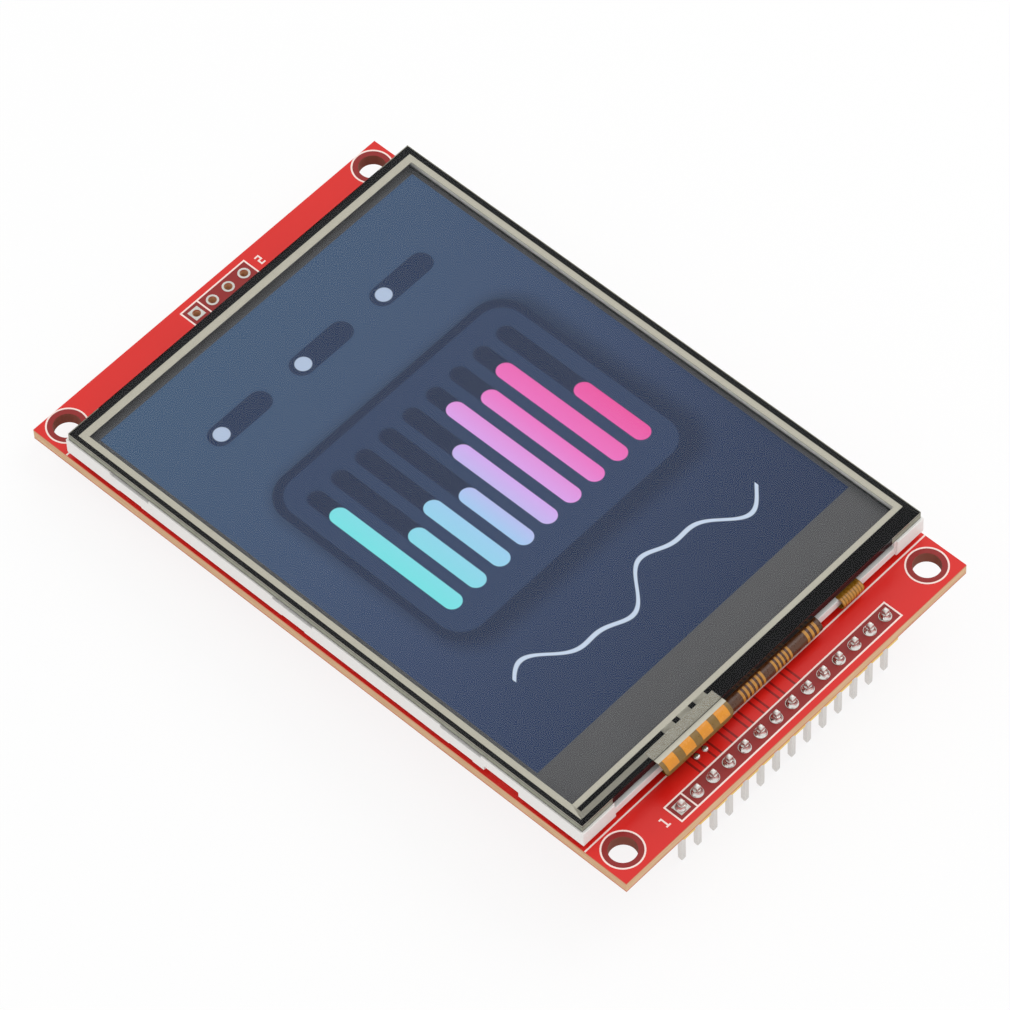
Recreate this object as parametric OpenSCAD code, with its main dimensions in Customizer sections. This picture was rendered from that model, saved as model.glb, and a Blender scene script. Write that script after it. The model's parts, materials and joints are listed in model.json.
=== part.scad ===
// Colour display module with a resistive touch panel on a red circuit board.
// The origin is the centre of the four mounting holes, on the board's front face.
// +X runs along the pin header, +Y runs towards the spare header, +Z leaves the screen.

/* [Board] */
// Board beyond the panel at each side
board_side = 0.07; // [0.05:0.01:2]
// Thickness of the circuit board
board_t = 1.6; // [1:0.1:2.4]
// Board beyond the far pair of mounting holes
far_margin = 2.45; // [2.2:0.05:3]
// Board beyond the near pair of mounting holes
near_margin = 3.15; // [2.8:0.05:5]
// Thickness of the copper pads
copper_t = 0.035; // [0.02:0.005:0.07]
// Thickness of the printed white legend
ink_t = 0.02; // [0.01:0.005:0.04]
// Width of the legend's lines
ink_line = 0.2; // [0.12:0.02:0.3]

/* [Mounting holes] */
// Diameter of the mounting holes
hole_d = 3.3; // [2.2:0.1:3.4]
// Distance from a mounting hole to the board's side
hole_side = 2.92; // [2.5:0.02:4]
// Distance from a mounting hole to the panel's end
hole_reach = 3; // [2.7:0.05:4]
// Bare band between a hole and its printed ring
ring_gap = 0.64; // [0.4:0.02:0.8]

/* [Pin header] */
// Number of pins in the header
pin_count = 14; // [4:1:16]
// Distance from pin to pin in both headers
pin_pitch = 2.54; // [2.5:0.01:2.6]
// Distance from the pin row to the board's near edge
pin_edge = 2.15; // [2:0.05:2.3]
// Side of the square pins
pin_side = 0.64; // [0.5:0.02:0.66]
// Length of a pin above the board
pin_up = 1.4; // [1:0.1:2]
// Length of a pin below the header's plastic
pin_down = 6.1; // [4:0.1:9]
// Height of the header's plastic
header_h = 2.54; // [2:0.02:3]
// Width of the header's plastic across the row
header_w = 2.5; // [2:0.02:2.54]
// Chamfer between neighbouring blocks of the header's plastic
header_notch = 0.45; // [0.2:0.05:0.6]
// Length of the pointed ends of a pin
pin_point = 0.5; // [0.3:0.05:0.8]
// Width of the flat left on a pin's pointed end
pin_flat = 0.3; // [0.2:0.02:0.4]
// Diameter of the plated holes
plated_d = 1; // [0.94:0.02:1.1]
// Diameter of the pads around the plated holes
pad_d = 1.5; // [1.4:0.05:1.9]
// Height of the solder cones above the pads
solder_h = 0.65; // [0.5:0.05:1.2]

/* [Spare header] */
// Number of empty holes in the spare header
spare_count = 4; // [2:1:8]
// Distance from the spare row to the board's far edge
spare_edge = 2.2; // [2:0.05:2.4]

/* [Display panel] */
// Thickness of the foam tape under the panel
tape_t = 0.8; // [0.7:0.05:1.2]
// Width of each strip of foam tape
tape_w = 6; // [4:0.5:6.5]
// Distance from the panel's side to the foam tape
tape_inset = 1.2; // [0.6:0.1:1.6]
// Width of the white frame
panel_w = 54.9; // [50:0.1:60]
// Length of the white frame
panel_l = 77.7; // [70:0.1:86]
// Height of the white frame
frame_h = 2.3; // [2.25:0.05:2.6]
// Width of the frame's rim beside the glass
rim_w = 1.25; // [1:0.05:1.5]
// Width of the frame's lower rim beside the light guide
lower_rim_w = 2; // [1.8:0.05:2.4]
// Depth of the front rail
rail_d = 1; // [0.9:0.05:1.1]
// Set-back of the front rail behind the corner blocks
rail_setback = 0.25; // [0.2:0.05:0.35]
// Length of the left corner block along the front
left_block = 5.2; // [4.5:0.1:6]
// Length of the right corner block along the front
right_block = 4.6; // [4:0.1:6]
// Length of the three notches in each side's upper edge
top_notch_l = 6; // [4:0.5:8]
// Depth of the notches in the upper edge
top_notch_h = 0.4; // [0.2:0.05:0.5]
// Length of the three notches in each side's lower edge
foot_notch_l = 3.4; // [2:0.2:5]
// Depth of the notches in the lower edge
foot_notch_h = 0.15; // [0.1:0.05:0.3]
// Length of the long notch near the front of each side
long_notch_l = 5; // [4:0.5:6]
// Height of the long notch
long_notch_h = 0.75; // [0.4:0.05:0.9]
// Clearance around a part that drops into the frame
drop_gap = 0.1; // [0.05:0.01:0.15]

/* [Backlight] */
// Thickness of the reflector
reflector_t = 0.1; // [0.06:0.02:0.14]
// Thickness of the light guide
guide_t = 0.75; // [0.65:0.05:0.8]
// Thickness of the diffuser
diffuser_t = 0.1; // [0.06:0.02:0.12]
// Thickness of each prism sheet
prism_t = 0.12; // [0.08:0.01:0.13]
// Number of light-emitting diodes
led_count = 6; // [4:1:10]
// Length of one diode
led_l = 3; // [2:0.1:3.6]
// Depth of one diode
led_d = 0.8; // [0.6:0.05:0.9]
// Distance from the light guide's side to the end of the diode strip
strip_margin = 3.85; // [2:0.05:5]
// Lap of the diode strip over the light guide
strip_lap = 0.75; // [0.5:0.05:1]
// Width of the backlight flex where it leaves the panel
lamp_flex_w = 3.4; // [2:0.1:4]
// Place of the backlight flex along the front
lamp_flex_x = 15.4; // [14.5:0.1:17.5]

/* [Display glass] */
// Thickness of the black tape under the glass
shade_t = 0.06; // [0.04:0.01:0.08]
// Thickness of each polariser
polariser_t = 0.14; // [0.1:0.01:0.15]
// Thickness of each sheet of glass
sheet_t = 0.3; // [0.25:0.01:0.31]
// Bare ledge of the lower glass along the front
glass_ledge = 2.45; // [2.2:0.05:2.8]
// Distance from the polarisers' edge to the glass edge at the sides
polariser_inset = 0.3; // [0.2:0.05:0.5]
// Length of the driver chip
chip_l = 17; // [12:0.5:20]
// Depth of the driver chip
chip_d = 0.9; // [0.7:0.05:1]
// Width of the dark margin beside the lit window
lit_side = 1.05; // [0.9:0.05:2]
// Width of the dark margin at the lit window's far end
lit_far = 1.4; // [1.2:0.05:3]
// Width of the dark margin at the lit window's near end
lit_near = 5.7; // [3:0.1:8]

/* [Flexes] */
// Thickness of the flexes
flex_t = 0.08; // [0.06:0.01:0.1]
// Thickness of the copper tracks on the flexes
track_t = 0.02; // [0.01:0.005:0.03]
// Left end of the display flex along the front
main_flex_x0 = -11.6; // [-14:0.1:-8]
// Width of the display flex
main_flex_w = 21.6; // [19:0.1:24]
// Left end of the touch tail along the front
tail_x0 = -16; // [-17:0.1:-15]
// Width of the touch tail
tail_w = 10.8; // [9:0.1:12]
// Radius of the tail's corners, where it narrows to a neck below its bend
shoulder_r = 1.3; // [0.8:0.1:1.8]
// Depth of the copper pads that the flexes are soldered to
flex_pad_l = 1.6; // [1:0.1:2]

/* [Touch panel] */
// Set-back of the touch panel from the frame's sides
touch_side = 0.2; // [0.1:0.05:0.5]
// Set-back of the touch panel from the frame's ends
touch_end = 0.3; // [0.1:0.05:0.5]
// Thickness of the black foam gasket under the touch glass
gasket_t = 0.1; // [0.06:0.01:0.2]
// Width of the gasket
gasket_w = 0.9; // [0.6:0.05:1]
// Thickness of the touch glass
touch_glass_t = 0.7; // [0.5:0.05:1.1]
// Thickness of the bonded layer between the touch glass and the film
bond_t = 0.1; // [0.08:0.01:0.12]
// Thickness of the touch film
film_t = 0.2; // [0.12:0.01:0.25]
// Width of the black border at the sides
side_border = 0.65; // [0.5:0.05:0.8]
// Width of the black border at the far end
far_border = 0.95; // [0.8:0.05:1.2]
// Width of the electrode along the sides
side_bar = 0.75; // [0.5:0.05:0.9]
// Width of the electrode along the far end
far_bar = 0.95; // [0.6:0.05:1.1]
// Width of the electrodes along the front
front_bar = 0.7; // [0.5:0.05:0.8]
// Distance from the touch panel's front edge to the outer front electrode
front_border = 0.75; // [0.6:0.05:0.9]
// Gap between the two front electrodes
bar_gap = 0.6; // [0.4:0.05:0.7]

/* [Card socket] */
// Width of the card socket across the card
socket_w = 28; // [27:0.1:30]
// Depth of the card socket along the card
socket_d = 26; // [24:0.1:28]
// Height of the card socket
socket_h = 3; // [2.8:0.05:3.4]
// Thickness of the shell's steel
shell_t = 0.2; // [0.15:0.01:0.25]
// Width of the card slot
slot_w = 24.4; // [24.2:0.1:24.8]
// Height of the card slot
slot_h = 2.3; // [2.2:0.05:2.35]
// Place of the socket's middle along the board
socket_y = 19; // [17:0.5:20]

/* [Hidden] */

// Small allowance that carries a cut past the face it opens
cut = 1;
// Short lap that keeps two cuts, or two stretches of a route, from meeting edge to edge
lip = 0.01;
// Facets on round holes, pads and solder
round_fn = 48;

// Board: its edges follow the panel and the mounting holes
board_w = panel_w + 2 * board_side;
hole_pitch_x = board_w - 2 * hole_side;
hole_pitch_y = panel_l + 2 * hole_reach;
board_y1 = hole_pitch_y / 2 + far_margin;
board_y0 = -hole_pitch_y / 2 - near_margin;
pin_y = board_y0 + pin_edge;
spare_y = board_y1 - spare_edge;
pin_row = (pin_count - 1) * pin_pitch;
spare_row = (spare_count - 1) * pin_pitch;
header_top = -board_t - copper_t;
header_foot = header_top - header_h;
pin_foot = header_foot - pin_down;

// Heights in the display stack, from the board's front face
frame_z = tape_t;
guide_z = frame_z + reflector_t;
diffuser_z = guide_z + guide_t;
lower_prism_z = diffuser_z + diffuser_t;
upper_prism_z = lower_prism_z + prism_t;
shelf_z = upper_prism_z + prism_t;
rear_polariser_z = shelf_z + shade_t;
array_z = rear_polariser_z + polariser_t;
filter_z = array_z + sheet_t;
front_polariser_z = filter_z + sheet_t;
frame_top = frame_z + frame_h;
touch_glass_z = frame_top + gasket_t;
bond_z = touch_glass_z + touch_glass_t;
film_z = bond_z + bond_t;

// Plan of the frame, which is centred on the mounting holes
frame_x = panel_w / 2;
frame_y = panel_l / 2;
rail_y0 = -frame_y + rail_setback;
rail_y1 = rail_y0 + rail_d;
pocket_x = frame_x - rim_w;
pocket_y1 = frame_y - rim_w;
window_x = frame_x - lower_rim_w;
window_y1 = frame_y - lower_rim_w;
block_slant = 0.35;
notch_depth = rim_w * 0.8;

// Plan of the backlight
strip_end = 1;
led_y0 = rail_y1 + drop_gap;
led_y1 = led_y0 + led_d;
guide_x = window_x - drop_gap;
guide_y1 = window_y1 - drop_gap;
strip_y1 = led_y1 + strip_lap;
sheet_y0 = strip_y1 + drop_gap;
strip_x = guide_x - strip_margin;
led_pitch = 2 * (strip_x - strip_end) / led_count;
led_row = (led_count - 1) * led_pitch;
led_window = 0.8;
lap_setback = 0.1;

// Plan of the display glass
glass_x = pocket_x - drop_gap;
glass_y1 = pocket_y1 - drop_gap;
glass_setback = 0.55;
glass_y0 = rail_y0 + glass_setback;
filter_y0 = glass_y0 + glass_ledge;
polariser_x = glass_x - polariser_inset;
polariser_y0 = filter_y0 + polariser_inset;
polariser_y1 = glass_y1 - polariser_inset;
chip_gap = 0.35;
chip_y0 = filter_y0 - chip_gap - chip_d;
bond_gap = 0.2;
block_gap = 0.5;
flex_bond_y1 = chip_y0 - bond_gap;

// Plan of the touch panel
touch_x = frame_x - touch_side;
touch_y0 = touch_end - frame_y;
touch_y1 = frame_y - touch_end;

// Routes of the three flexes round the front of the frame
bend_steps = 16;
under_gap = 0.12;
flex_foot = frame_z - under_gap - flex_t;
tail_t = bond_t - track_t;
tail_foot = 0.25;
tail_reach = 0.45;
tail_y = touch_y0 - tail_reach;
tail_pad_gap = 3.2;
main_pad_gap = 8;
tail_pad_y = tail_pad_gap - frame_y;
main_pad_y = main_pad_gap - frame_y;
landing_l = 1;
landing_end = 0.4;
lamp_x0 = lamp_flex_x - lamp_flex_w / 2;

// Notches along each side wall, and the long one near the front, from the front edge
notch_reach = 17.85;
notch_pitch = 25;
notch_y = [for (i = [0 : 2]) notch_reach - frame_y + i * notch_pitch];
long_notch_reach = 11.95;
long_notch_y = long_notch_reach - frame_y;

// Printed legend and the two dabs in front of the panel
outline_gap = 0.18;
numeral_h = 1.3;
numeral_gap = 1;
dab_d = 0.8;
dab_h = 0.24;
dab_pitch = 1.3;
dab_gap = 0.9;
dab_x = [for (i = [0, 1]) tail_x0 + tail_w / 2 + i * dab_pitch];
dab_y = -frame_y - dab_gap;

// Tracks on the flexes; a bundle is its place and share of the width, and its count
tail_tracks = 4;
main_tracks = 18;
lamp_tracks = 4;
bundles = [[0.06, 0.18, 6], [0.4, 0.18, 6], [0.64, 0.14, 5], [0.88, 0.1, 3]];
// Angle at which the touch tail stops bending and runs down under the panel, and
// the steps of its bend where the pale cover ends, where the tracks end and where
// its corners begin
tuck = 115;
cover_steps = 1;
track_steps = 10;
shoulder_steps = 7;

// Card socket, drawn standing on the board's rear face with its slot towards +X
socket_x0 = board_w / 2 - socket_d;
socket_stand = 0.1;
slot_floor = socket_h - shell_t - slot_h;
socket_wall = 3;
peg_d = 1.2;
peg_inset = 3;
foot_l = 1.2;
foot_w = 2;
foot_inset = 1;
window_l = 6;
window_w = 2.4;
window_pitch = 12;
side_gap_h = 0.6;
contact_foot = 1.4;
contact_rise = 0.45;
contact_count = 9;
contact_pitch = 2.5;
contact_w = 0.9;
contact_t = 0.15;
contact_reach = 7;
thumb_d = 14;

// Sizes of the rear parts
controller_l = 5;
controller_w = 4.4;
controller_h = 0.95;
controller_pins = 8;
controller_pitch = 0.65;
controller_lead_w = 0.25;
controller_lead_l = 1;
small_l = 2.9;
small_w = 1.3;
small_h = 1;
small_pitch = 1.9;
small_lead_w = 0.4;
small_lead_l = 0.6;
lead_stand = 0.12;
lead_t = 0.12;
body_slope = 0.1;
resistor_size = [1.6, 0.8, 0.45];
resistor_cap = 0.3;
resistor_count = 6;
resistor_pitch = 2.6;
capacitor_size = [2, 1.25, 0.85];
capacitor_cap = 0.4;
capacitor_pitch = 6;
cap_wrap = 0.03;
memory_pins = 4;
memory_pitch = 1.27;
memory_w = 5.4;
memory_pad_l = 1.5;
pad_margin = 0.1;
legend_gap = 0.6;

// Places of the rear parts: a row beyond the pin row that starts beside the board's
// left edge, and the controller beyond the row
row_gap = 9.5;
row_inset = 7.5;
controller_shift = 8;
controller_gap = 11.5;
memory_shift = 18;
capacitor_shift = 4;
row_y = pin_y + row_gap;
row_x0 = -board_w / 2 + row_inset;
row_x1 = -row_x0;
controller_at = [row_x0 + controller_shift, row_y + controller_gap];
memory_at = [controller_at[0] + memory_shift, controller_at[1]];
regulator_at = [row_x0, row_y];
transistor_at = [row_x1 - 1.5 * capacitor_shift, row_y];
// Each place of a two-ended part is x, y and its turn
upright = 90;
resistor_places = [for (i = [0 : resistor_count - 1])
    [row_x0 + controller_shift + i * resistor_pitch, row_y, upright]];
capacitor_places = concat(
    [for (i = [1, 2]) [row_x0, row_y + i * capacitor_pitch, upright]],
    [[row_x0 + capacitor_shift, row_y, upright],
        [row_x1 - capacitor_shift / 2, row_y, upright],
        [controller_at[0], controller_at[1] + capacitor_pitch, 0]]);

// ---------------------------------------------------------------- helpers

// Box that lies in the plane of the board: x0, x1, y0, y1 from height z, h high
module slab(x0, x1, y0, y1, z, h) {
    translate([x0, y0, z]) cube([x1 - x0, y1 - y0, h]);
}

// Flat frame between two rectangles
module frame_ring(x0, x1, y0, y1, left, right, front, back, z, h) {
    difference() {
        slab(x0, x1, y0, y1, z, h);
        slab(x0 + left, x1 - right, y0 + front, y1 - back, z - cut, h + 2 * cut);
    }
}

// The four mounting holes' centres
module at_holes() {
    for (sx = [-1, 1], sy = [-1, 1])
        translate([sx * hole_pitch_x / 2, sy * hole_pitch_y / 2, 0]) children();
}

// Each pin of the header, and each hole of the spare header
module at_pins() {
    for (i = [0 : pin_count - 1])
        translate([i * pin_pitch - pin_row / 2, pin_y, 0]) children();
}

module at_spares() {
    for (i = [0 : spare_count - 1])
        translate([i * pin_pitch - spare_row / 2, spare_y, 0]) children();
}

// Turns a part drawn standing on a plane over, so that it hangs under the board
module under_board() {
    translate([0, 0, -board_t]) mirror([0, 0, 1]) children();
}

// Band between two offsets of a route in the YZ plane. A route is a list of
// [point, normal]; the band is drawn from x0 to x1.
module band(route, low, high, x0, x1) {
    under = [for (p = route) p[0] + low * p[1]];
    over = [for (i = [len(route) - 1 : -1 : 0]) route[i][0] + high * route[i][1]];
    translate([x0, 0, 0])
        rotate([90, 0, 90])
            linear_extrude(x1 - x0) polygon(concat(under, over));
}

// Half turn from the upper level to the lower one, bulging towards -Y.
// y is where the bend starts, top and foot are the levels of the flex's lower
// face before the bend and after it, seen along the route.
function half_turn(y, top, foot, a0 = 0, a1 = 180) =
    let (r = (top - foot) / 2, zc = (top + foot) / 2)
    [for (i = [0 : bend_steps])
        let (a = a0 + (a1 - a0) * i / bend_steps)
        [[y - r * sin(a), zc + r * cos(a)], [-sin(a), cos(a)]]];

// Flat run under the panel that drops on to its pads at pad_y
function landing(foot, pad_y) =
    [[[pad_y - landing_end - landing_l, foot], [0, -1]],
     [[pad_y - landing_end, copper_t + flex_t], [0, -1]],
     [[pad_y + flex_pad_l, copper_t + flex_t], [0, -1]]];

// Level stretch of a route from y0 to y1
function flat(y0, y1, z) = [[[y0, z], [0, 1]], [[y1, z], [0, 1]]];

// Stations first to last of a route
function span(route, first, last) = [for (i = [first : last]) route[i]];

// ---------------------------------------------------------------- board

module pcb() {
    color("#d02a20")
        difference() {
            slab(-board_w / 2, board_w / 2, board_y0, board_y1, -board_t, board_t);
            at_holes()
                translate([0, 0, -board_t - cut])
                    cylinder(d = hole_d, h = board_t + 2 * cut, $fn = round_fn);
            at_pins() plated_hole();
            at_spares() plated_hole();
        }
}

module plated_hole() {
    translate([0, 0, -board_t - cut])
        cylinder(d = plated_d, h = board_t + 2 * cut, $fn = round_fn);
}

// Printed rectangle round a row of count pins, with a bar beside the first one
module row_box(count, row_y) {
    half_l = count * pin_pitch / 2;
    half_d = pin_pitch / 2;
    translate([0, row_y, 0])
        difference() {
            slab(-half_l - ink_line / 2, half_l + ink_line / 2,
                -half_d - ink_line / 2, half_d + ink_line / 2, 0, ink_t);
            slab(-half_l + ink_line / 2, -half_l + pin_pitch - ink_line / 2,
                -half_d + ink_line / 2, half_d - ink_line / 2, -cut, 2 * cut);
            slab(-half_l + pin_pitch + ink_line / 2, half_l - ink_line / 2,
                -half_d + ink_line / 2, half_d - ink_line / 2, -cut, 2 * cut);
        }
}

// Printed ring round each mounting hole, trimmed at the board's edge
module hole_rings() {
    ring_r = hole_d / 2 + ring_gap;
    intersection() {
        at_holes()
            difference() {
                cylinder(r = ring_r + ink_line, h = ink_t, $fn = round_fn);
                translate([0, 0, -cut]) cylinder(r = ring_r, h = 3 * cut, $fn = round_fn);
            }
        slab(-board_w / 2, board_w / 2, board_y0, board_y1, -cut, 3 * cut);
    }
}

// Printed numeral: a one with its flag, or a two drawn from straight strokes
module numeral(value, height) {
    w = height / 2;
    s = ink_line;
    if (value == 1) {
        slab(w / 2 - s / 2, w / 2 + s / 2, 0, height, 0, ink_t);
        slab(0, w, 0, s, 0, ink_t);
        slab(w / 2 - 1.6 * s, w / 2 - s / 2, height - s, height, 0, ink_t);
    } else {
        for (y = [0, (height - s) / 2, height - s]) slab(0, w, y, y + s, 0, ink_t);
        slab(w - s, w, height / 2, height, 0, ink_t);
        slab(0, s, 0, height / 2, 0, ink_t);
    }
}

module front_legend() {
    color("#ffd9d0") {
        hole_rings();
        row_box(pin_count, pin_y);
        row_box(spare_count, spare_y);
        for (side = [-1, 1]) {
            y = side * (panel_l / 2 + outline_gap);
            slab(-board_w / 2, board_w / 2, y - ink_line / 2, y + ink_line / 2, 0, ink_t);
        }
        translate([-pin_count * pin_pitch / 2 - numeral_gap - numeral_h / 2,
            pin_y - numeral_h / 2, 0])
            numeral(1, numeral_h);
        translate([spare_count * pin_pitch / 2 + numeral_gap, spare_y - numeral_h / 2, 0])
            numeral(2, numeral_h);
    }
}

module rear_legend() {
    color("#ffd9d0")
        under_board() {
            hole_rings();
            rear_bar(controller_at, controller_l, controller_w / 2 + controller_lead_l);
            rear_bar(regulator_at, small_l, small_w / 2 + small_lead_l);
            rear_bar(transistor_at, small_l, small_w / 2 + small_lead_l);
            for (side = [-1, 1])
                translate([socket_x0, socket_y + side * (socket_w / 2 + foot_l + legend_gap), 0])
                    slab(0, socket_d, 0, ink_line, 0, ink_t);
        }
}

// Printed bar beside a rear part that reaches reach from its middle
module rear_bar(at, length, reach) {
    translate([at[0] - length / 2, at[1] + reach + legend_gap, 0])
        slab(0, length, 0, ink_line, 0, ink_t);
}

// Ring of copper round a plated hole; the first of a row is square
module pad(square_pad) {
    difference() {
        if (square_pad)
            slab(-pad_d / 2, pad_d / 2, -pad_d / 2, pad_d / 2, 0, copper_t);
        else
            cylinder(d = pad_d, h = copper_t, $fn = round_fn);
        translate([0, 0, -cut]) cylinder(d = plated_d, h = 3 * cut, $fn = round_fn);
    }
}

module row_pads() {
    for (i = [0 : pin_count - 1])
        translate([i * pin_pitch - pin_row / 2, pin_y, 0]) pad(i == 0);
    for (i = [0 : spare_count - 1])
        translate([i * pin_pitch - spare_row / 2, spare_y, 0]) pad(i == 0);
}

// Row of copper strips that a flex is soldered to
module flex_pads(x0, width, count, pad_y) {
    step = width / count;
    for (i = [0 : count - 1])
        slab(x0 + (i + 0.2) * step, x0 + (i + 0.8) * step,
            pad_y, pad_y + flex_pad_l, 0, copper_t);
}

module front_pads() {
    color("#d8d5cc") {
        row_pads();
        flex_pads(tail_x0 + shoulder_r, tail_w - 2 * shoulder_r, tail_tracks, tail_pad_y);
        flex_pads(main_flex_x0, main_flex_w, main_tracks, main_pad_y);
        flex_pads(lamp_x0, lamp_flex_w, lamp_tracks, tail_pad_y);
    }
}

// Two round dabs of solder on test points in front of the panel
module test_points() {
    color("#dcdad6")
        for (x = dab_x)
            translate([x, dab_y, 0])
                rotate_extrude($fn = round_fn)
                    polygon([[0, 0], [dab_d / 2, 0], [dab_d * 0.42, dab_h / 2],
                        [dab_d / 4, dab_h * 0.85], [0, dab_h]]);
}

// ---------------------------------------------------------------- pin header

module header_body() {
    half = pin_pitch / 2;
    n = header_notch;
    color("#e3c04a")
        difference() {
            at_pins()
                translate([0, 0, header_foot])
                    linear_extrude(header_h)
                        polygon([[-half, -header_w / 2 + n], [-half + n, -header_w / 2],
                            [half - n, -header_w / 2], [half, -header_w / 2 + n],
                            [half, header_w / 2 - n], [half - n, header_w / 2],
                            [-half + n, header_w / 2], [-half, header_w / 2 - n]]);
            at_pins()
                slab(-pin_side / 2, pin_side / 2, -pin_side / 2, pin_side / 2,
                    header_foot - cut, header_h + 2 * cut);
        }
}

// Square pin with four-sided points: two outlines crossed
module pin() {
    intersection() {
        rotate([90, 0, 0])
            translate([0, 0, -pin_side]) linear_extrude(2 * pin_side) pin_outline();
        rotate([90, 0, 90])
            translate([0, 0, -pin_side]) linear_extrude(2 * pin_side) pin_outline();
    }
}

module pin_outline() {
    a = pin_side / 2;
    b = pin_flat / 2;
    polygon([[-a, pin_foot + pin_point], [-b, pin_foot], [b, pin_foot],
        [a, pin_foot + pin_point], [a, pin_up - pin_point / 2], [b, pin_up],
        [-b, pin_up], [-a, pin_up - pin_point / 2]]);
}

module header_pins() {
    color("#d9d7d3") at_pins() pin();
}

// Solder that fills the plated hole and rises up the pin
module solder_joint() {
    foot_r = pad_d / 2 - 0.05;
    neck_r = pin_side / 2 * sqrt(2) + 0.04;
    fill_r = plated_d / 2;
    difference() {
        rotate_extrude($fn = round_fn)
            polygon([[0, -board_t], [fill_r, -board_t], [fill_r, copper_t],
                [foot_r, copper_t],
                [foot_r * 0.86, copper_t + solder_h * 0.2],
                [(foot_r + neck_r) / 2, copper_t + solder_h * 0.55],
                [neck_r, copper_t + solder_h], [0, copper_t + solder_h]]);
        slab(-pin_side / 2, pin_side / 2, -pin_side / 2, pin_side / 2,
            -board_t - cut, board_t + copper_t + solder_h + 2 * cut);
    }
}

module solder_joints() {
    color("#dedcd8") at_pins() solder_joint();
}

// ---------------------------------------------------------------- display panel

module mounting_tape() {
    color("#e9e6df")
        for (side = [0, 1])
            mirror([side, 0, 0])
                slab(frame_x - tape_inset - tape_w, frame_x - tape_inset,
                    -frame_y + tape_inset, frame_y - tape_inset, 0, tape_t);
}

// White moulded frame: a deep pocket for the glass, a window for the light guide,
// and an open front between two corner blocks, closed low down by a rail
module backlight_frame() {
    opening_x0 = -frame_x + left_block;
    opening_x1 = frame_x - right_block;
    above = frame_h + 2 * cut;
    color("#f1eee8")
        difference() {
            slab(-frame_x, frame_x, -frame_y, frame_y, frame_z, frame_h);
            slab(-pocket_x, pocket_x, glass_y0 - drop_gap, pocket_y1, shelf_z, above);
            slab(-window_x, window_x, rail_y1, window_y1, frame_z - cut, above);
            // set-back of the rail
            translate([0, rail_y0, 0])
                rotate([90, 0, 0])
                    linear_extrude(frame_y)
                        polygon([[opening_x0, frame_z - cut],
                            [opening_x1, frame_z - cut],
                            [opening_x1 + block_slant, frame_top + cut],
                            [opening_x0 - block_slant, frame_top + cut]]);
            // open front above the rail
            slab(opening_x0, opening_x1, -frame_y - cut, glass_y0, shelf_z, above);
            for (side = [0, 1]) mirror([side, 0, 0]) side_notches();
        }
}

// Notches in the outer face of one side wall
module side_notches() {
    for (y = notch_y) {
        slab(frame_x - notch_depth, frame_x + cut, y - top_notch_l / 2, y + top_notch_l / 2,
            frame_top - top_notch_h, frame_h);
        slab(frame_x - notch_depth, frame_x + cut, y - foot_notch_l / 2, y + foot_notch_l / 2,
            frame_z - cut, foot_notch_h + cut);
    }
    slab(frame_x - notch_depth, frame_x + cut, long_notch_y - long_notch_l / 2,
        long_notch_y + long_notch_l / 2, frame_z - cut, long_notch_h + cut);
}

module reflector() {
    color("#fbfbfb")
        slab(-guide_x, guide_x, led_y0, guide_y1, frame_z, reflector_t);
}

module light_guide() {
    color("#e8f2f4") slab(-guide_x, guide_x, led_y1, guide_y1, guide_z, guide_t);
}

module diffuser() {
    color("#f6f6f2") slab(-guide_x, guide_x, sheet_y0, guide_y1, diffuser_z, diffuser_t);
}

module lower_prism_sheet() {
    color("#eef0f2") slab(-guide_x, guide_x, sheet_y0, guide_y1, lower_prism_z, prism_t);
}

module upper_prism_sheet() {
    color("#eef0f2") slab(-guide_x, guide_x, sheet_y0, guide_y1, upper_prism_z, prism_t);
}

// Side-view diodes that shine into the guide's front edge through a shallow window
module backlight_leds() {
    color("#f5f1df")
        for (i = [0 : led_count - 1])
            translate([i * led_pitch - led_row / 2, 0, 0])
                difference() {
                    slab(-led_l / 2, led_l / 2, led_y0, led_y1, guide_z, guide_t);
                    slab(-led_l * led_window / 2, led_l * led_window / 2,
                        led_y1 - led_d / 4, led_y1 + cut,
                        guide_z + guide_t * (1 - led_window), guide_t * (2 * led_window - 1));
                }
}

// Route of the backlight flex: up over the rail, round it and down to the board
lamp_route = concat(
    [[[led_y1 - lap_setback, diffuser_z], [0, 1]],
     [[led_y0 - lap_setback / 2, shelf_z], [0, 1]],
     [[rail_y1, shelf_z], [0, 1]]],
    half_turn(rail_y0, shelf_z, flex_foot + flex_t),
    landing(flex_foot + flex_t, tail_pad_y));

module backlight_flex() {
    lamp_x1 = lamp_x0 + lamp_flex_w;
    color("#b5852e") {
        difference() {
            slab(-strip_x, strip_x, led_y0, strip_y1, diffuser_z, flex_t);
            slab(lamp_x0, lamp_x1, led_y0 - cut, led_y1 - lap_setback, diffuser_z - cut, 3 * cut);
        }
        band(lamp_route, 0, flex_t, lamp_x0, lamp_x1);
    }
}

// Even copper tracks on the outer face of a flex
module tracks(route, face, x0, width, count, share) {
    step = width / count;
    for (i = [0 : count - 1])
        band(route, face, face + track_t,
            x0 + (i + (1 - share) / 2) * step, x0 + (i + (1 + share) / 2) * step);
}

module backlight_flex_tracks() {
    color("#e8c06a")
        tracks(half_turn(rail_y0, shelf_z, flex_foot + flex_t), flex_t,
            lamp_x0, lamp_flex_w, lamp_tracks * 2, 0.55);
}

module shade_tape() {
    color("#1d1d1f")
        frame_ring(-glass_x, glass_x, sheet_y0, glass_y1,
            lit_side, lit_side, filter_y0 + lit_near - sheet_y0, lit_far, shelf_z, shade_t);
}

// ---------------------------------------------------------------- display glass

module rear_polariser() {
    color("#4a4a4e")
        slab(-polariser_x, polariser_x, polariser_y0, polariser_y1,
            rear_polariser_z, polariser_t);
}

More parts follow.
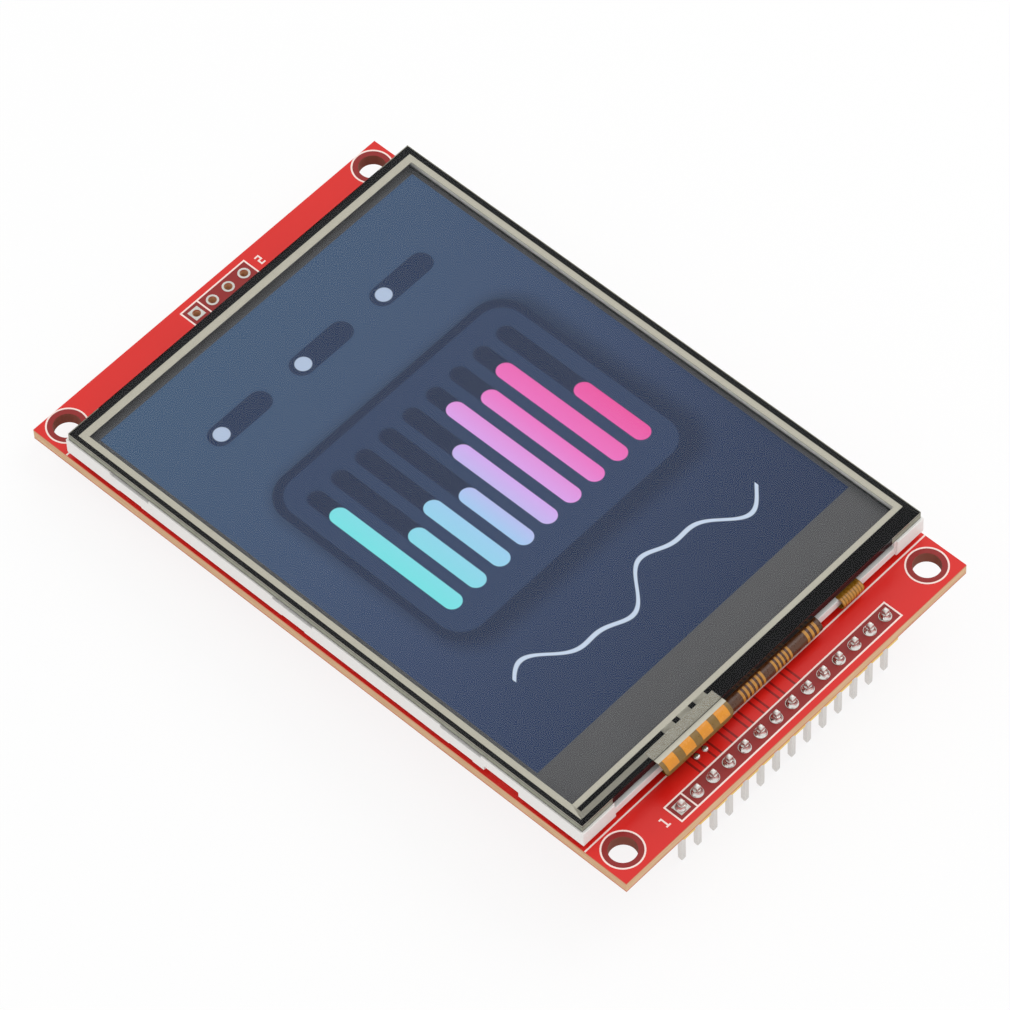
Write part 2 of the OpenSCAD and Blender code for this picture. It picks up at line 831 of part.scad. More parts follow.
module array_glass() {
    color("#8fa3a0") slab(-glass_x, glass_x, glass_y0, glass_y1, array_z, sheet_t);
}

module colour_filter_glass() {
    color("#6f7577") slab(-glass_x, glass_x, filter_y0, glass_y1, filter_z, sheet_t);
}

module front_polariser() {
    color("#46587a")
        slab(-polariser_x, polariser_x, polariser_y0, polariser_y1,
            front_polariser_z, polariser_t);
}

module driver_chip() {
    color("#2a2c30")
        slab(-chip_l / 2, chip_l / 2, chip_y0, chip_y0 + chip_d, filter_z, sheet_t);
}

// Black tape that laps the filter glass and hides the chip
module ledge_tape() {
    x = frame_x - max(left_block, right_block) - block_gap;
    color("#18181a")
        slab(-x, x, glass_y0, polariser_y0 - drop_gap, front_polariser_z, shade_t);
}

main_route = concat(
    flat(flex_bond_y1, rail_y0 + lip, filter_z),
    half_turn(rail_y0, filter_z, flex_foot + flex_t),
    landing(flex_foot + flex_t, main_pad_y));

module display_flex() {
    color("#5a3a1c")
        band(main_route, 0, flex_t, main_flex_x0, main_flex_x0 + main_flex_w);
}

// Three bundles of fine tracks
module display_flex_tracks() {
    bend = half_turn(rail_y0, filter_z, flex_foot + flex_t);
    color("#8a5c2a")
        for (b = bundles)
            tracks(bend, flex_t, main_flex_x0 + b[0] * main_flex_w, b[1] * main_flex_w, b[2], 0.5);
}

// ---------------------------------------------------------------- touch panel

module touch_gasket() {
    color("#151516")
        frame_ring(-touch_x, touch_x, touch_y0, touch_y1,
            gasket_w, gasket_w, gasket_w, gasket_w, frame_top, gasket_t);
}

module touch_glass() {
    color("#a9b3a6")
        slab(-touch_x, touch_x, touch_y0, touch_y1, touch_glass_z, touch_glass_t);
}

// Place of the electrodes in the bonded layer
bar_x1 = touch_x - side_border;
bar_y1 = touch_y1 - far_border;
outer_bar_y0 = touch_y0 + front_border;
outer_bar_y1 = outer_bar_y0 + front_bar;
inner_bar_y0 = outer_bar_y1 + bar_gap;
tail_x1 = tail_x0 + tail_w;

// Printed silver bars round the window, the second bar along the front, which meets
// the tail's first track, and the three fingers that meet the others
module touch_electrodes() {
    color("#c3c0b4") {
        frame_ring(-bar_x1, bar_x1, inner_bar_y0, bar_y1,
            side_bar, side_bar, front_bar, far_bar, bond_z, bond_t);
        slab(-bar_x1, -bar_x1 + side_bar, outer_bar_y0, inner_bar_y0, bond_z, bond_t);
        slab(-bar_x1 + side_bar, tail_x0, outer_bar_y0, outer_bar_y1, bond_z, bond_t);
        for (x = finger_x0)
            slab(x, x + finger_share * finger, outer_bar_y1, inner_bar_y0, bond_z, bond_t);
    }
}

// Black printed border that fills the rest of the bonded layer's rim
module touch_border() {
    front = inner_bar_y0 - touch_y0;
    color("#141416")
        difference() {
            frame_ring(-touch_x, touch_x, touch_y0, touch_y1,
                side_border, side_border, front, far_border, bond_z, bond_t);
            slab(-bar_x1, -bar_x1 + side_bar, outer_bar_y0, inner_bar_y0 + cut,
                bond_z - cut, 3 * cut);
            slab(-bar_x1, tail_x0 + lip, outer_bar_y0, outer_bar_y1, bond_z - cut, 3 * cut);
            slab(tail_x0, tail_x1, touch_y0 - cut, outer_bar_y1, bond_z - cut, 3 * cut);
            for (x = finger_x0)
                slab(x, x + finger_share * finger, outer_bar_y1 - lip, inner_bar_y0 + cut,
                    bond_z - cut, 3 * cut);
        }
}

module touch_film() {
    color("#d7dade") slab(-touch_x, touch_x, touch_y0, touch_y1, film_z, film_t);
}

// The fingers stand a little closer than the tracks; each covers a share of its step
finger = 0.93 * tail_w / tail_tracks;
finger_share = 0.68;
finger_x0 = [for (i = [1 : tail_tracks - 1]) tail_x0 + (i + 1 / 3) * finger];

// Route of the touch tail: flat between glass and film, round in front of the
// panel, then in below the display flex to its pads
tail_tuck = 0.3;
tail_r = (bond_z - frame_z) / 2 - tail_tuck;
tail_zc = bond_z - tail_r;
tail_bend = half_turn(tail_y, bond_z, bond_z - 2 * tail_r, 0, tuck);
tuck_drop = tail_zc + tail_r * cos(tuck) - tail_foot - tail_t;
tuck_y = tail_y - tail_r * sin(tuck) - tuck_drop / tan(tuck);
tail_route = concat(
    flat(outer_bar_y1, tail_y + lip, bond_z),
    tail_bend,
    [[[tuck_y, tail_foot + tail_t], [-0.5, -0.87]],
     [[tuck_y + 3 * tail_t, tail_foot + tail_t], [0, -1]],
     [[tail_pad_y - landing_end - landing_l / 2, tail_foot + tail_t], [0, -1]],
     [[tail_pad_y - landing_end, copper_t + tail_t], [0, -1]],
     [[tail_pad_y + flex_pad_l, copper_t + tail_t], [0, -1]]]);

// Level where the tail's corners begin, and facets on each corner
shoulder_z = tail_bend[shoulder_steps][0][1];
shoulder_fn = 8;

// What is cut from the tail below its bend: a round corner and then a straight side
module shoulder_cuts() {
    back = tail_pad_y + flex_pad_l + cut;
    for (side = [0, 1])
        translate([side == 0 ? tail_x0 : tail_x1, back, shoulder_z])
            mirror([side, 0, 0])
                rotate([90, 0, 0])
                    linear_extrude(back - tail_y + 2 * tail_r)
                        polygon(concat(
                            [for (i = [0 : shoulder_fn])
                                let (a = 180 + 90 * i / shoulder_fn)
                                [shoulder_r + shoulder_r * cos(a), shoulder_r * sin(a)]],
                            [[shoulder_r, -shoulder_z], [-cut, -shoulder_z], [-cut, 0]]));
}

module touch_tail() {
    color("#8c6a28")
        difference() {
            band(tail_route, 0, tail_t, tail_x0, tail_x1);
            shoulder_cuts();
        }
}

// Four broad tracks, from where the cover ends to the middle of the bend
module touch_tail_tracks() {
    color("#e8a030")
        tracks(span(tail_bend, cover_steps, track_steps), tail_t,
            tail_x0, tail_w, tail_tracks, 0.6);
}

// Pale cover over the bonded end of the tail
module touch_tail_cover() {
    color("#c9c4b2")
        band(concat(flat(outer_bar_y1, tail_y + lip, bond_z), span(tail_bend, 0, cover_steps)),
            tail_t, tail_t + track_t, tail_x0, tail_x1);
}

// ---------------------------------------------------------------- card socket

// The socket lies under the board with its slot at the board's right edge
module card_socket_base() {
    color("#2b2b2d") under_board() translate([socket_x0, socket_y, 0]) {
        difference() {
            slab(0, socket_d - shell_t, -socket_w / 2 + shell_t, socket_w / 2 - shell_t,
                socket_stand, socket_h - shell_t - socket_stand);
            slab(socket_wall, socket_d + cut, -slot_w / 2, slot_w / 2, slot_floor, slot_h);
            for (i = [0 : contact_count - 1])
                translate([0, contact_y(i), 0])
                    slab(-cut, contact_reach + 2 * contact_t, -contact_w / 2, contact_w / 2,
                        socket_stand - cut, slot_floor - socket_stand + 2 * cut);
        }
        for (side = [-1, 1], x = [peg_inset, socket_d - peg_inset])
            translate([x, side * (socket_w / 2 - peg_inset), 0])
                cylinder(d = peg_d, h = socket_stand, $fn = round_fn);
    }
}

// Folded steel cover with a thumb notch at the mouth and four soldered feet
module card_socket_shell() {
    color("#c9c9c7") under_board() translate([socket_x0, socket_y, 0]) {
        difference() {
            slab(0, socket_d, -socket_w / 2, socket_w / 2, copper_t, socket_h - copper_t);
            slab(-cut, socket_d + cut, -socket_w / 2 + shell_t, socket_w / 2 - shell_t,
                copper_t - cut, socket_h - shell_t - copper_t + cut);
            translate([socket_d, 0, socket_h - cut])
                cylinder(d = thumb_d, h = 2 * cut, $fn = round_fn);
            for (side = [-1, 1])
                translate([socket_d / 2, side * socket_w / 2, 0])
                    slab(-socket_d / 4, socket_d / 4, -cut, cut, copper_t - cut,
                        cut + side_gap_h);
            for (side = [-1, 1])
                translate([window_l, side * window_pitch / 2, 0])
                    slab(0, window_l, -window_w / 2, window_w / 2, socket_h - cut, 2 * cut);
        }
        for (side = [0, 1], x = [foot_inset, socket_d - foot_inset - foot_w])
            mirror([0, side, 0])
                slab(x, x + foot_w, socket_w / 2, socket_w / 2 + foot_l, copper_t, shell_t);
    }
}

function contact_y(i) = (i - (contact_count - 1) / 2) * contact_pitch;

// Spring contacts: a soldered foot behind the socket and a bowed blade inside it
module card_socket_contacts() {
    z0 = copper_t;
    z1 = slot_floor;
    t = contact_t;
    low = z1 - 4 * t / 3;
    color("#d8b868") under_board() translate([socket_x0, socket_y, 0])
        for (i = [0 : contact_count - 1])
            translate([0, contact_y(i) - contact_w / 2, 0])
                rotate([90, 0, 0])
                    mirror([0, 0, 1])
                        linear_extrude(contact_w)
                            polygon([[-contact_foot, z0], [-t, z0], [2 * t, low - t],
                                [contact_reach * 0.45, low - t],
                                [contact_reach * 0.75, z1 + contact_rise],
                                [contact_reach, z1 - t / 3],
                                [contact_reach, z1 + 2 * t / 3],
                                [contact_reach * 0.75, z1 + contact_rise + t],
                                [contact_reach * 0.45 - t / 2, low],
                                [2 * t - t / 2, low],
                                [-1.5 * t, z0 + t], [-contact_foot, z0 + t]]);
}

// ---------------------------------------------------------------- rear parts

// Moulded body with sloped sides, standing stand above the board, l x w x h
module moulding(l, w, h, stand, slope) {
    translate([0, 0, stand])
        intersection() {
            rotate([90, 0, 0])
                translate([0, 0, -w]) linear_extrude(2 * w)
                    moulding_outline(l, h, slope);
            rotate([90, 0, 90])
                translate([0, 0, -l]) linear_extrude(2 * l)
                    moulding_outline(w, h, slope);
        }
}

module moulding_outline(l, h, slope) {
    polygon([[-l / 2 + slope, 0], [l / 2 - slope, 0], [l / 2, h / 2 - slope / 2],
        [l / 2, h / 2 + slope / 2], [l / 2 - slope, h], [-l / 2 + slope, h]]);
}

// Gull-wing lead from the middle of a body's side at y = edge, reaching out to tip
module lead(width, edge, tip, mid_z, t) {
    knee = edge + (tip - edge) * 0.3;
    translate([-width / 2, 0, 0])
        rotate([90, 0, 90])
            linear_extrude(width)
                polygon([[edge, mid_z - t / 2], [knee - t, mid_z - t / 2],
                    [knee + t, copper_t], [tip, copper_t], [tip, copper_t + t],
                    [knee + 2 * t, copper_t + t], [knee, mid_z + t / 2],
                    [edge, mid_z + t / 2]]);
}

module two_rows(count, pitch, width, edge, tip, mid_z, t) {
    for (side = [0, 180], i = [0 : count - 1])
        rotate(side)
            translate([(i - (count - 1) / 2) * pitch, 0, 0])
                lead(width, edge, tip, mid_z, t);
}

function mid_height(h) = lead_stand + h / 2;

module touch_controller_body() {
    color("#26272a") under_board() translate([controller_at[0], controller_at[1], 0])
        moulding(controller_l, controller_w, controller_h, lead_stand, body_slope);
}

module touch_controller_leads() {
    color("#cfcfcd") under_board() translate([controller_at[0], controller_at[1], 0])
        two_rows(controller_pins, controller_pitch, controller_lead_w, controller_w / 2,
            controller_w / 2 + controller_lead_l, mid_height(controller_h), lead_t);
}

// Three-lead body: two leads on one side and one on the other
module small_body() {
    moulding(small_l, small_w, small_h, lead_stand, body_slope);
}

module small_leads() {
    for (x = [-small_pitch / 2, small_pitch / 2]) translate([x, 0, 0]) small_lead();
    rotate(180) small_lead();
}

module small_lead() {
    lead(small_lead_w, small_w / 2, small_w / 2 + small_lead_l, mid_height(small_h), lead_t);
}

module regulator_body() {
    color("#242528") under_board()
        translate([regulator_at[0], regulator_at[1], 0]) small_body();
}

module regulator_leads() {
    color("#cfcfcd") under_board()
        translate([regulator_at[0], regulator_at[1], 0]) small_leads();
}

module transistor_body() {
    color("#242528") under_board()
        translate([transistor_at[0], transistor_at[1], 0]) small_body();
}

module transistor_leads() {
    color("#cfcfcd") under_board()
        translate([transistor_at[0], transistor_at[1], 0]) small_leads();
}

// Middle of a two-ended part, and its two end caps, l x w x h with caps cap long
module part_middle(size, cap) {
    slab(-size[0] / 2 + cap, size[0] / 2 - cap, -size[1] / 2, size[1] / 2,
        copper_t, size[2]);
}

module part_caps(size, cap) {
    for (side = [0, 180])
        rotate(side)
            slab(size[0] / 2 - cap, size[0] / 2, -size[1] / 2 - cap_wrap,
                size[1] / 2 + cap_wrap, copper_t, size[2] + cap_wrap);
}

module at_parts(places) {
    under_board()
        for (p = places) translate([p[0], p[1], 0]) rotate(p[2]) children();
}

module resistor_bodies() {
    color("#2c2c2e") at_parts(resistor_places) part_middle(resistor_size, resistor_cap);
}

module resistor_caps() {
    color("#d5d4d0") at_parts(resistor_places) part_caps(resistor_size, resistor_cap);
}

module capacitor_bodies() {
    color("#b08d63") at_parts(capacitor_places) part_middle(capacitor_size, capacitor_cap);
}

module capacitor_caps() {
    color("#d5d4d0") at_parts(capacitor_places) part_caps(capacitor_size, capacitor_cap);
}

// Pad under the tip of a lead that leaves a body at y = edge and is length long
module lead_pad(width, edge, length) {
    slab(-width / 2 - pad_margin / 2, width / 2 + pad_margin / 2,
        edge + length * 0.3, edge + length + 3 * pad_margin, 0, copper_t);
}

// Two pads of a two-ended part
module end_pads(size, cap) {
    for (side = [0, 180])
        rotate(side)
            slab(size[0] / 2 - cap - pad_margin, size[0] / 2 + 3 * pad_margin,
                -size[1] / 2 - pad_margin, size[1] / 2 + pad_margin, 0, copper_t);
}

module rear_pads() {
    color("#d8d5cc") under_board() {
        row_pads();
        for (p = resistor_places)
            translate([p[0], p[1], 0]) rotate(p[2]) end_pads(resistor_size, resistor_cap);
        for (p = capacitor_places)
            translate([p[0], p[1], 0]) rotate(p[2]) end_pads(capacitor_size, capacitor_cap);
        translate([controller_at[0], controller_at[1], 0])
            for (side = [0, 180], i = [0 : controller_pins - 1])
                rotate(side)
                    translate([(i - (controller_pins - 1) / 2) * controller_pitch, 0, 0])
                        lead_pad(controller_lead_w, controller_w / 2, controller_lead_l);
        for (c = [regulator_at, transistor_at])
            translate([c[0], c[1], 0]) {
                for (x = [-small_pitch / 2, small_pitch / 2])
                    translate([x, 0, 0]) lead_pad(small_lead_w, small_w / 2, small_lead_l);
                rotate(180) lead_pad(small_lead_w, small_w / 2, small_lead_l);
            }
        // empty place for a memory chip
        translate([memory_at[0], memory_at[1], 0])
            for (side = [0, 180], i = [0 : memory_pins - 1])
                rotate(side)
                    translate([(i - (memory_pins - 1) / 2) * memory_pitch, 0, 0])
                        lead_pad(small_lead_w, memory_w / 2, memory_pad_l);
        translate([socket_x0, socket_y, 0]) {
            for (side = [0, 1], x = [foot_inset, socket_d - foot_inset - foot_w])
                mirror([0, side, 0])
                    slab(x - pad_margin, x + foot_w + pad_margin, socket_w / 2 - pad_margin,
                        socket_w / 2 + foot_l + 2 * pad_margin, 0, copper_t);
            for (i = [0 : contact_count - 1])
                translate([0, contact_y(i), 0])
                    slab(-contact_foot - 2 * pad_margin, -contact_t,
                        -contact_w / 2 - pad_margin, contact_w / 2 + pad_margin, 0, copper_t);
        }
    }
}

pcb();
front_legend();
rear_legend();
front_pads();
rear_pads();
test_points();
header_body();
header_pins();
solder_joints();
mounting_tape();
backlight_frame();
reflector();
light_guide();
diffuser();
lower_prism_sheet();
upper_prism_sheet();
backlight_leds();
backlight_flex();
backlight_flex_tracks();
shade_tape();
rear_polariser();
array_glass();
colour_filter_glass();
front_polariser();
driver_chip();
ledge_tape();
display_flex();
display_flex_tracks();
touch_gasket();
touch_glass();
touch_border();
touch_electrodes();
touch_film();
touch_tail();
touch_tail_tracks();
touch_tail_cover();
card_socket_base();
card_socket_shell();
card_socket_contacts();
touch_controller_body();
touch_controller_leads();
regulator_body();
regulator_leads();
transistor_body();
transistor_leads();
resistor_bodies();
resistor_caps();
capacitor_bodies();
capacitor_caps();
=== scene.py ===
# %% [markdown]
# # A colour display module on a red circuit board
# The module is a sandwich: a red board carries a white plastic frame, the frame holds
# the backlight and the display glass, and a resistive touch panel lies on top. A row of
# fourteen pins is soldered along the near edge and a card socket hides behind.
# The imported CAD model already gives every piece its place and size. This script adds
# what CAD leaves out: softened edges, solder, traces, a lit screen and real finishes.

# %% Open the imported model
import json
import math
import bmesh
import bpy
from mathutils import Matrix, Vector


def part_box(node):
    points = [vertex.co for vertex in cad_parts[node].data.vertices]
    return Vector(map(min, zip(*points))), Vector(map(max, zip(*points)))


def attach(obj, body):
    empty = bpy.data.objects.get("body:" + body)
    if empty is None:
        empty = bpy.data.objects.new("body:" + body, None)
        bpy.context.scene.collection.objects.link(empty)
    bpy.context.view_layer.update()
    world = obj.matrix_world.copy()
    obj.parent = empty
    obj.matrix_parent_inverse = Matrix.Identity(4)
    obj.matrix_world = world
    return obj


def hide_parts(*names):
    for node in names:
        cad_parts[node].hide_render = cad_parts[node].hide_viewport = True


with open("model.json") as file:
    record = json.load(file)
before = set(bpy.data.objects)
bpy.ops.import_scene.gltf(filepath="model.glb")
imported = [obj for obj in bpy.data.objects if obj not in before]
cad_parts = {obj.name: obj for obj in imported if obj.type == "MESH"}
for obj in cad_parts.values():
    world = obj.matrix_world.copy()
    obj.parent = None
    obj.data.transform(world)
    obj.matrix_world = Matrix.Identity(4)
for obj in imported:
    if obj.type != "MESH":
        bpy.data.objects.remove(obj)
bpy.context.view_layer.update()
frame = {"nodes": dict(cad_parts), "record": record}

MM = 0.001
nodes = frame["nodes"]

# %% [markdown]
# ## Places that the finishes need
# Printed lines, holes and rows of pins have to meet the pattern in the board's finish.
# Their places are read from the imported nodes, so nothing is typed twice.

# %% Measure the board and its rows of pins
def box_mm(node):
    """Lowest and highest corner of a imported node, in millimetres."""
    low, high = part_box(node)
    return [v / MM for v in low], [v / MM for v in high]


mount = {m["name"]: m for m in frame["record"]["mounts"]}["mounting_holes"]["dims"]
hole_x, hole_y = mount["spacing_x_mm"] / 2, mount["spacing_y_mm"] / 2
hole_r = mount["hole_r_mm"]
board_low, board_high = box_mm("pcb")
pin_low, pin_high = box_mm("header_pins")
pin_count, pin_pitch = 14, 2.54
pin_y = (pin_low[1] + pin_high[1]) / 2
pin_x0 = -(pin_count - 1) * pin_pitch / 2
spare_count = 4
# The spare row lies this much further in from its edge than the pin row does
SPARE_INSET = 0.05
spare_y = board_high[1] - (pin_y - board_low[1]) - SPARE_INSET
print("pin row at y", round(pin_y, 3), "spare row at y", round(spare_y, 3))

# %% [markdown]
# ## The camera
# A long lens far away keeps the board's edges almost parallel, as in a catalogue
# picture. The camera stands to the left of the pin header and looks down at about
# 54 degrees. Its axes are written as three angles: a turn, a tilt and a slight roll.

# %% Set up the camera
TURN, TILT, ROLL = (math.radians(a) for a in (-44.52, 54.406, -3.07))
back = Vector((math.sin(TURN) * math.cos(TILT), -math.cos(TURN) * math.cos(TILT),
               math.sin(TILT)))
level = Vector((math.cos(TURN), math.sin(TURN), 0))
rise = back.cross(level)
right = level * math.cos(ROLL) + rise * math.sin(ROLL)
up = rise * math.cos(ROLL) - level * math.sin(ROLL)
# Where it stands, in millimetres: back from the module, then aside, down and nearer
BACK_OFF, ASIDE, DOWN, NEARER = 698.76, 1.101, 0.9255, 0.35
stand = (back * BACK_OFF + right * ASIDE - up * DOWN - Vector((0, NEARER, 0))) * MM

lens = bpy.data.cameras.new("camera")
lens.lens, lens.sensor_width = 226.145, 36
lens.clip_start, lens.clip_end = 0.05, 20
camera = bpy.data.objects.new("camera", lens)
camera.matrix_world = Matrix((right, up, back)).transposed().to_4x4()
camera.location = stand
bpy.context.scene.collection.objects.link(camera)
bpy.context.scene.camera = camera
print("camera stands at", [round(v, 4) for v in stand])

# %% [markdown]
# ## Nodes and colours
# Every finish is a small tree of nodes. One function adds a node with its settings and
# links. Colours are written as the hex values that a paint program shows, and a second
# function turns them into the linear light values that a renderer needs.

# %% Helpers for finishes
def linear(hex_code):
    """Linear colour, with alpha 1, of an sRGB hex value."""
    shades = [int(hex_code[i:i + 2], 16) / 255 for i in (1, 3, 5)]
    return tuple(s / 12.92 if s <= 0.04045 else ((s + 0.055) / 1.055) ** 2.4
                 for s in shades) + (1.0,)


def add(tree, kind, sockets=None, stops=None, **settings):
    """Adds a node. Each socket, by name or number, takes a value or another output."""
    node = tree.nodes.new("ShaderNode" + kind)
    for name, value in settings.items():
        setattr(node, name, value)
    for place, (at, colour) in enumerate(stops or []):
        ramp = node.color_ramp.elements
        stop = ramp[place] if place < len(ramp) else ramp.new(at)
        stop.position, stop.color = at, linear(colour)
    for name, value in (sockets or {}).items():
        if isinstance(value, bpy.types.NodeSocket):
            tree.links.new(value, node.inputs[name])
        else:
            node.inputs[name].default_value = value
    return node


def start_finish(name, **fixed):
    """A new material, its tree, its shader and its place in millimetres."""
    material = bpy.data.materials.new(name)
    material.use_nodes = True
    tree = material.node_tree
    tree.nodes.clear()
    shader = add(tree, "BsdfPrincipled")
    for socket, value in fixed.items():
        shader.inputs[socket.replace("_", " ")].default_value = value
    add(tree, "OutputMaterial", {"Surface": shader.outputs[0]})
    place = add(tree, "TexCoord").outputs["Object"]
    mm = add(tree, "Mapping", {"Vector": place, "Scale": (1 / MM,) * 3}).outputs[0]
    return material, tree, shader, mm


print("red mask in linear light:", [round(v, 3) for v in linear("#e01c12")[:3]])

# %% [markdown]
# Most surfaces here are one substance with a fine grain: a moulded plastic, a tinned
# sheet, a film. They share one recipe. A noise of the real grain's size mixes two close
# tones, moves the roughness a little and raises a very low relief.

# %% A recipe for fine-grained surfaces
def grained(name, tones, grain_mm, rough, relief_mm=0.0, stretch=(1, 1, 1), **fixed):
    """Two tones in a noise of grain_mm, with roughness and relief from the same noise."""
    material, tree, shader, mm = start_finish(name, **fixed)
    drawn = add(tree, "Mapping", {"Vector": mm, "Scale": stretch}).outputs[0]
    noise = add(tree, "TexNoise", {"Vector": drawn, "Scale": 1 / grain_mm,
                                   "Detail": 3.0, "Roughness": 0.55}).outputs[0]
    tone = add(tree, "Mix", {0: noise, 6: linear(tones[0]), 7: linear(tones[1])},
               data_type="RGBA").outputs[2]
    tree.links.new(tone, shader.inputs["Base Color"])
    polish = add(tree, "MapRange", {"Value": noise, "From Min": 0.3, "From Max": 0.7,
                                    "To Min": rough[0], "To Max": rough[1]}).outputs[0]
    tree.links.new(polish, shader.inputs["Roughness"])
    if relief_mm:
        relief = add(tree, "Bump", {"Height": noise, "Strength": 1.0,
                                    "Distance": relief_mm * MM}).outputs[0]
        tree.links.new(relief, shader.inputs["Normal"])
    return material


finishes = {}

# %% [markdown]
# ## The board's finish
# The board is woven glass in epoxy with a glossy red solder mask on both faces. Over
# copper the mask looks bright, and where the copper is left out, round the screw holes,
# in the header boxes and beside each trace, it looks darker. The cut edges show the
# bare tan laminate. The mask lies on faces that point up or down, so the surface's
# own normal tells mask from edge.

# %% Red solder mask over glass laminate
def maths(tree, operation, *values):
    """One arithmetic node, named by its operation."""
    return add(tree, "Math", dict(enumerate(values)), operation=operation).outputs[0]


mask, tree, shader, mm = start_finish("solder_mask_over_laminate", IOR=1.5,
                                      Specular_IOR_Level=0.5)
x, y, z = add(tree, "SeparateXYZ", {0: mm}).outputs
side_x, side_y = maths(tree, "ABSOLUTE", x), maths(tree, "ABSOLUTE", y)
corner = add(tree, "CombineXYZ", {0: side_x, 1: side_y}).outputs[0]
from_hole = add(tree, "VectorMath", {0: corner, 1: (hole_x, hole_y, 0)},
                operation="DISTANCE").outputs["Value"]
# Bare ring round each screw hole, and the header boxes inside their printed lines
RING_WIDTH, LINE_INSET = 0.68, 0.1
bare_ring = maths(tree, "LESS_THAN", from_hole, hole_r + RING_WIDTH)
BOX_HALF = pin_pitch / 2 - LINE_INSET
boxes = []
for row_y, half_x in ((pin_y, pin_count * pin_pitch / 2 - LINE_INSET),
                      (spare_y, spare_count * pin_pitch / 2 - LINE_INSET)):
    across = maths(tree, "COMPARE", y, row_y, BOX_HALF)
    boxes.append(maths(tree, "MULTIPLY", across, maths(tree, "LESS_THAN", side_x, half_x)))
# Gaps in the copper stand in pairs, one each side of a trace that leaves a pin
GAP_FROM_PIN, GAP_HALF = 0.42, 0.13
TRACE_MIDDLE, TRACE_HALF = 4.2, 3
from_pin = maths(tree, "PINGPONG", maths(tree, "SUBTRACT", x, pin_x0), pin_pitch / 2)
pair = maths(tree, "COMPARE", from_pin, GAP_FROM_PIN, GAP_HALF)
near_traces = maths(tree, "COMPARE", x, pin_x0 + 5 * pin_pitch, 3.5 * pin_pitch)
beyond_box = maths(tree, "COMPARE", y, pin_y + TRACE_MIDDLE, TRACE_HALF)
on_front = maths(tree, "GREATER_THAN", z, -0.1)
gaps = maths(tree, "MULTIPLY", maths(tree, "MULTIPLY", pair, near_traces),
             maths(tree, "MULTIPLY", beyond_box, on_front))
no_copper = bare_ring
for zone in boxes + [gaps]:
    no_copper = maths(tree, "MAXIMUM", no_copper, zone)
cloud = add(tree, "TexNoise", {"Vector": mm, "Scale": 0.08, "Detail": 2.0}).outputs[0]
over_copper = add(tree, "Mix", {0: cloud, 6: linear("#d2150d"), 7: linear("#e01c12")},
                  data_type="RGBA").outputs[2]
mask_tone = add(tree, "Mix", {0: no_copper, 6: over_copper, 7: linear("#8e0f0b")},
                data_type="RGBA").outputs[2]
# The cut edge: glass bundles run along the board, about 0.2 mm apart through it
bundles = add(tree, "Mapping", {"Vector": mm, "Scale": (0.25, 0.25, 5.0)}).outputs[0]
weave = add(tree, "TexNoise", {"Vector": bundles, "Scale": 1.0, "Detail": 4.0}).outputs[0]
laminate = add(tree, "Mix", {0: weave, 6: linear("#bf8f66"), 7: linear("#eecba2")},
               data_type="RGBA").outputs[2]
# The red mask laps a little way over both corners of the cut edge
LAP, half_board = 0.3, -board_low[2] / 2
mid_z = maths(tree, "ABSOLUTE", maths(tree, "ADD", z, half_board))
lapped = add(tree, "MapRange", {"Value": mid_z, "From Min": half_board - LAP,
                                "From Max": half_board}).outputs[0]
laminate = add(tree, "Mix", {0: lapped, 6: laminate, 7: linear("#c9553a")},
               data_type="RGBA").outputs[2]
# Painted shade: the walls of the screw holes are painted a darker brown than the cut edge, for
# the shade inside the holes
hole_wall_painted_shade = add(tree, "Mix", {0: maths(tree, "LESS_THAN", from_hole, hole_r + 0.1),
                              6: laminate, 7: linear("#8a4a38")}, data_type="RGBA").outputs[2]
normal_z = add(tree, "SeparateXYZ", {0: add(tree, "NewGeometry").outputs["Normal"]}).outputs[2]
on_face = maths(tree, "GREATER_THAN", maths(tree, "ABSOLUTE", normal_z), 0.5)
board_tone = add(tree, "Mix", {0: on_face, 6: hole_wall_painted_shade, 7: mask_tone},
                 data_type="RGBA").outputs[2]
tree.links.new(board_tone, shader.inputs["Base Color"])
# The mask is glossy, the cut laminate is matt
polish = add(tree, "MapRange", {"Value": on_face, "To Min": 0.85, "To Max": 0.3}).outputs[0]
tree.links.new(polish, shader.inputs["Roughness"])
# The mask ripples softly and sinks where there is no copper under it
ripple = add(tree, "TexNoise", {"Vector": mm, "Scale": 0.7, "Detail": 2.0}).outputs[0]
step_down = maths(tree, "SUBTRACT", ripple, maths(tree, "MULTIPLY", no_copper, 4.0))
tree.links.new(add(tree, "Bump", {"Height": step_down, "Strength": 1.0,
                                  "Distance": 0.006 * MM}).outputs[0], shader.inputs["Normal"])
finishes["solder_mask"] = mask
print("board finish has", len(tree.nodes), "nodes")

# %% [markdown]
# ## Prints, copper, solder and pins
# The white legend is a thin screen print with a slightly broken, matt surface. Pads are
# copper dipped in solder, and solder sets with a bright skin full of soft dents. The
# pins are drawn brass wire with a satin tin plate, streaked along their length.

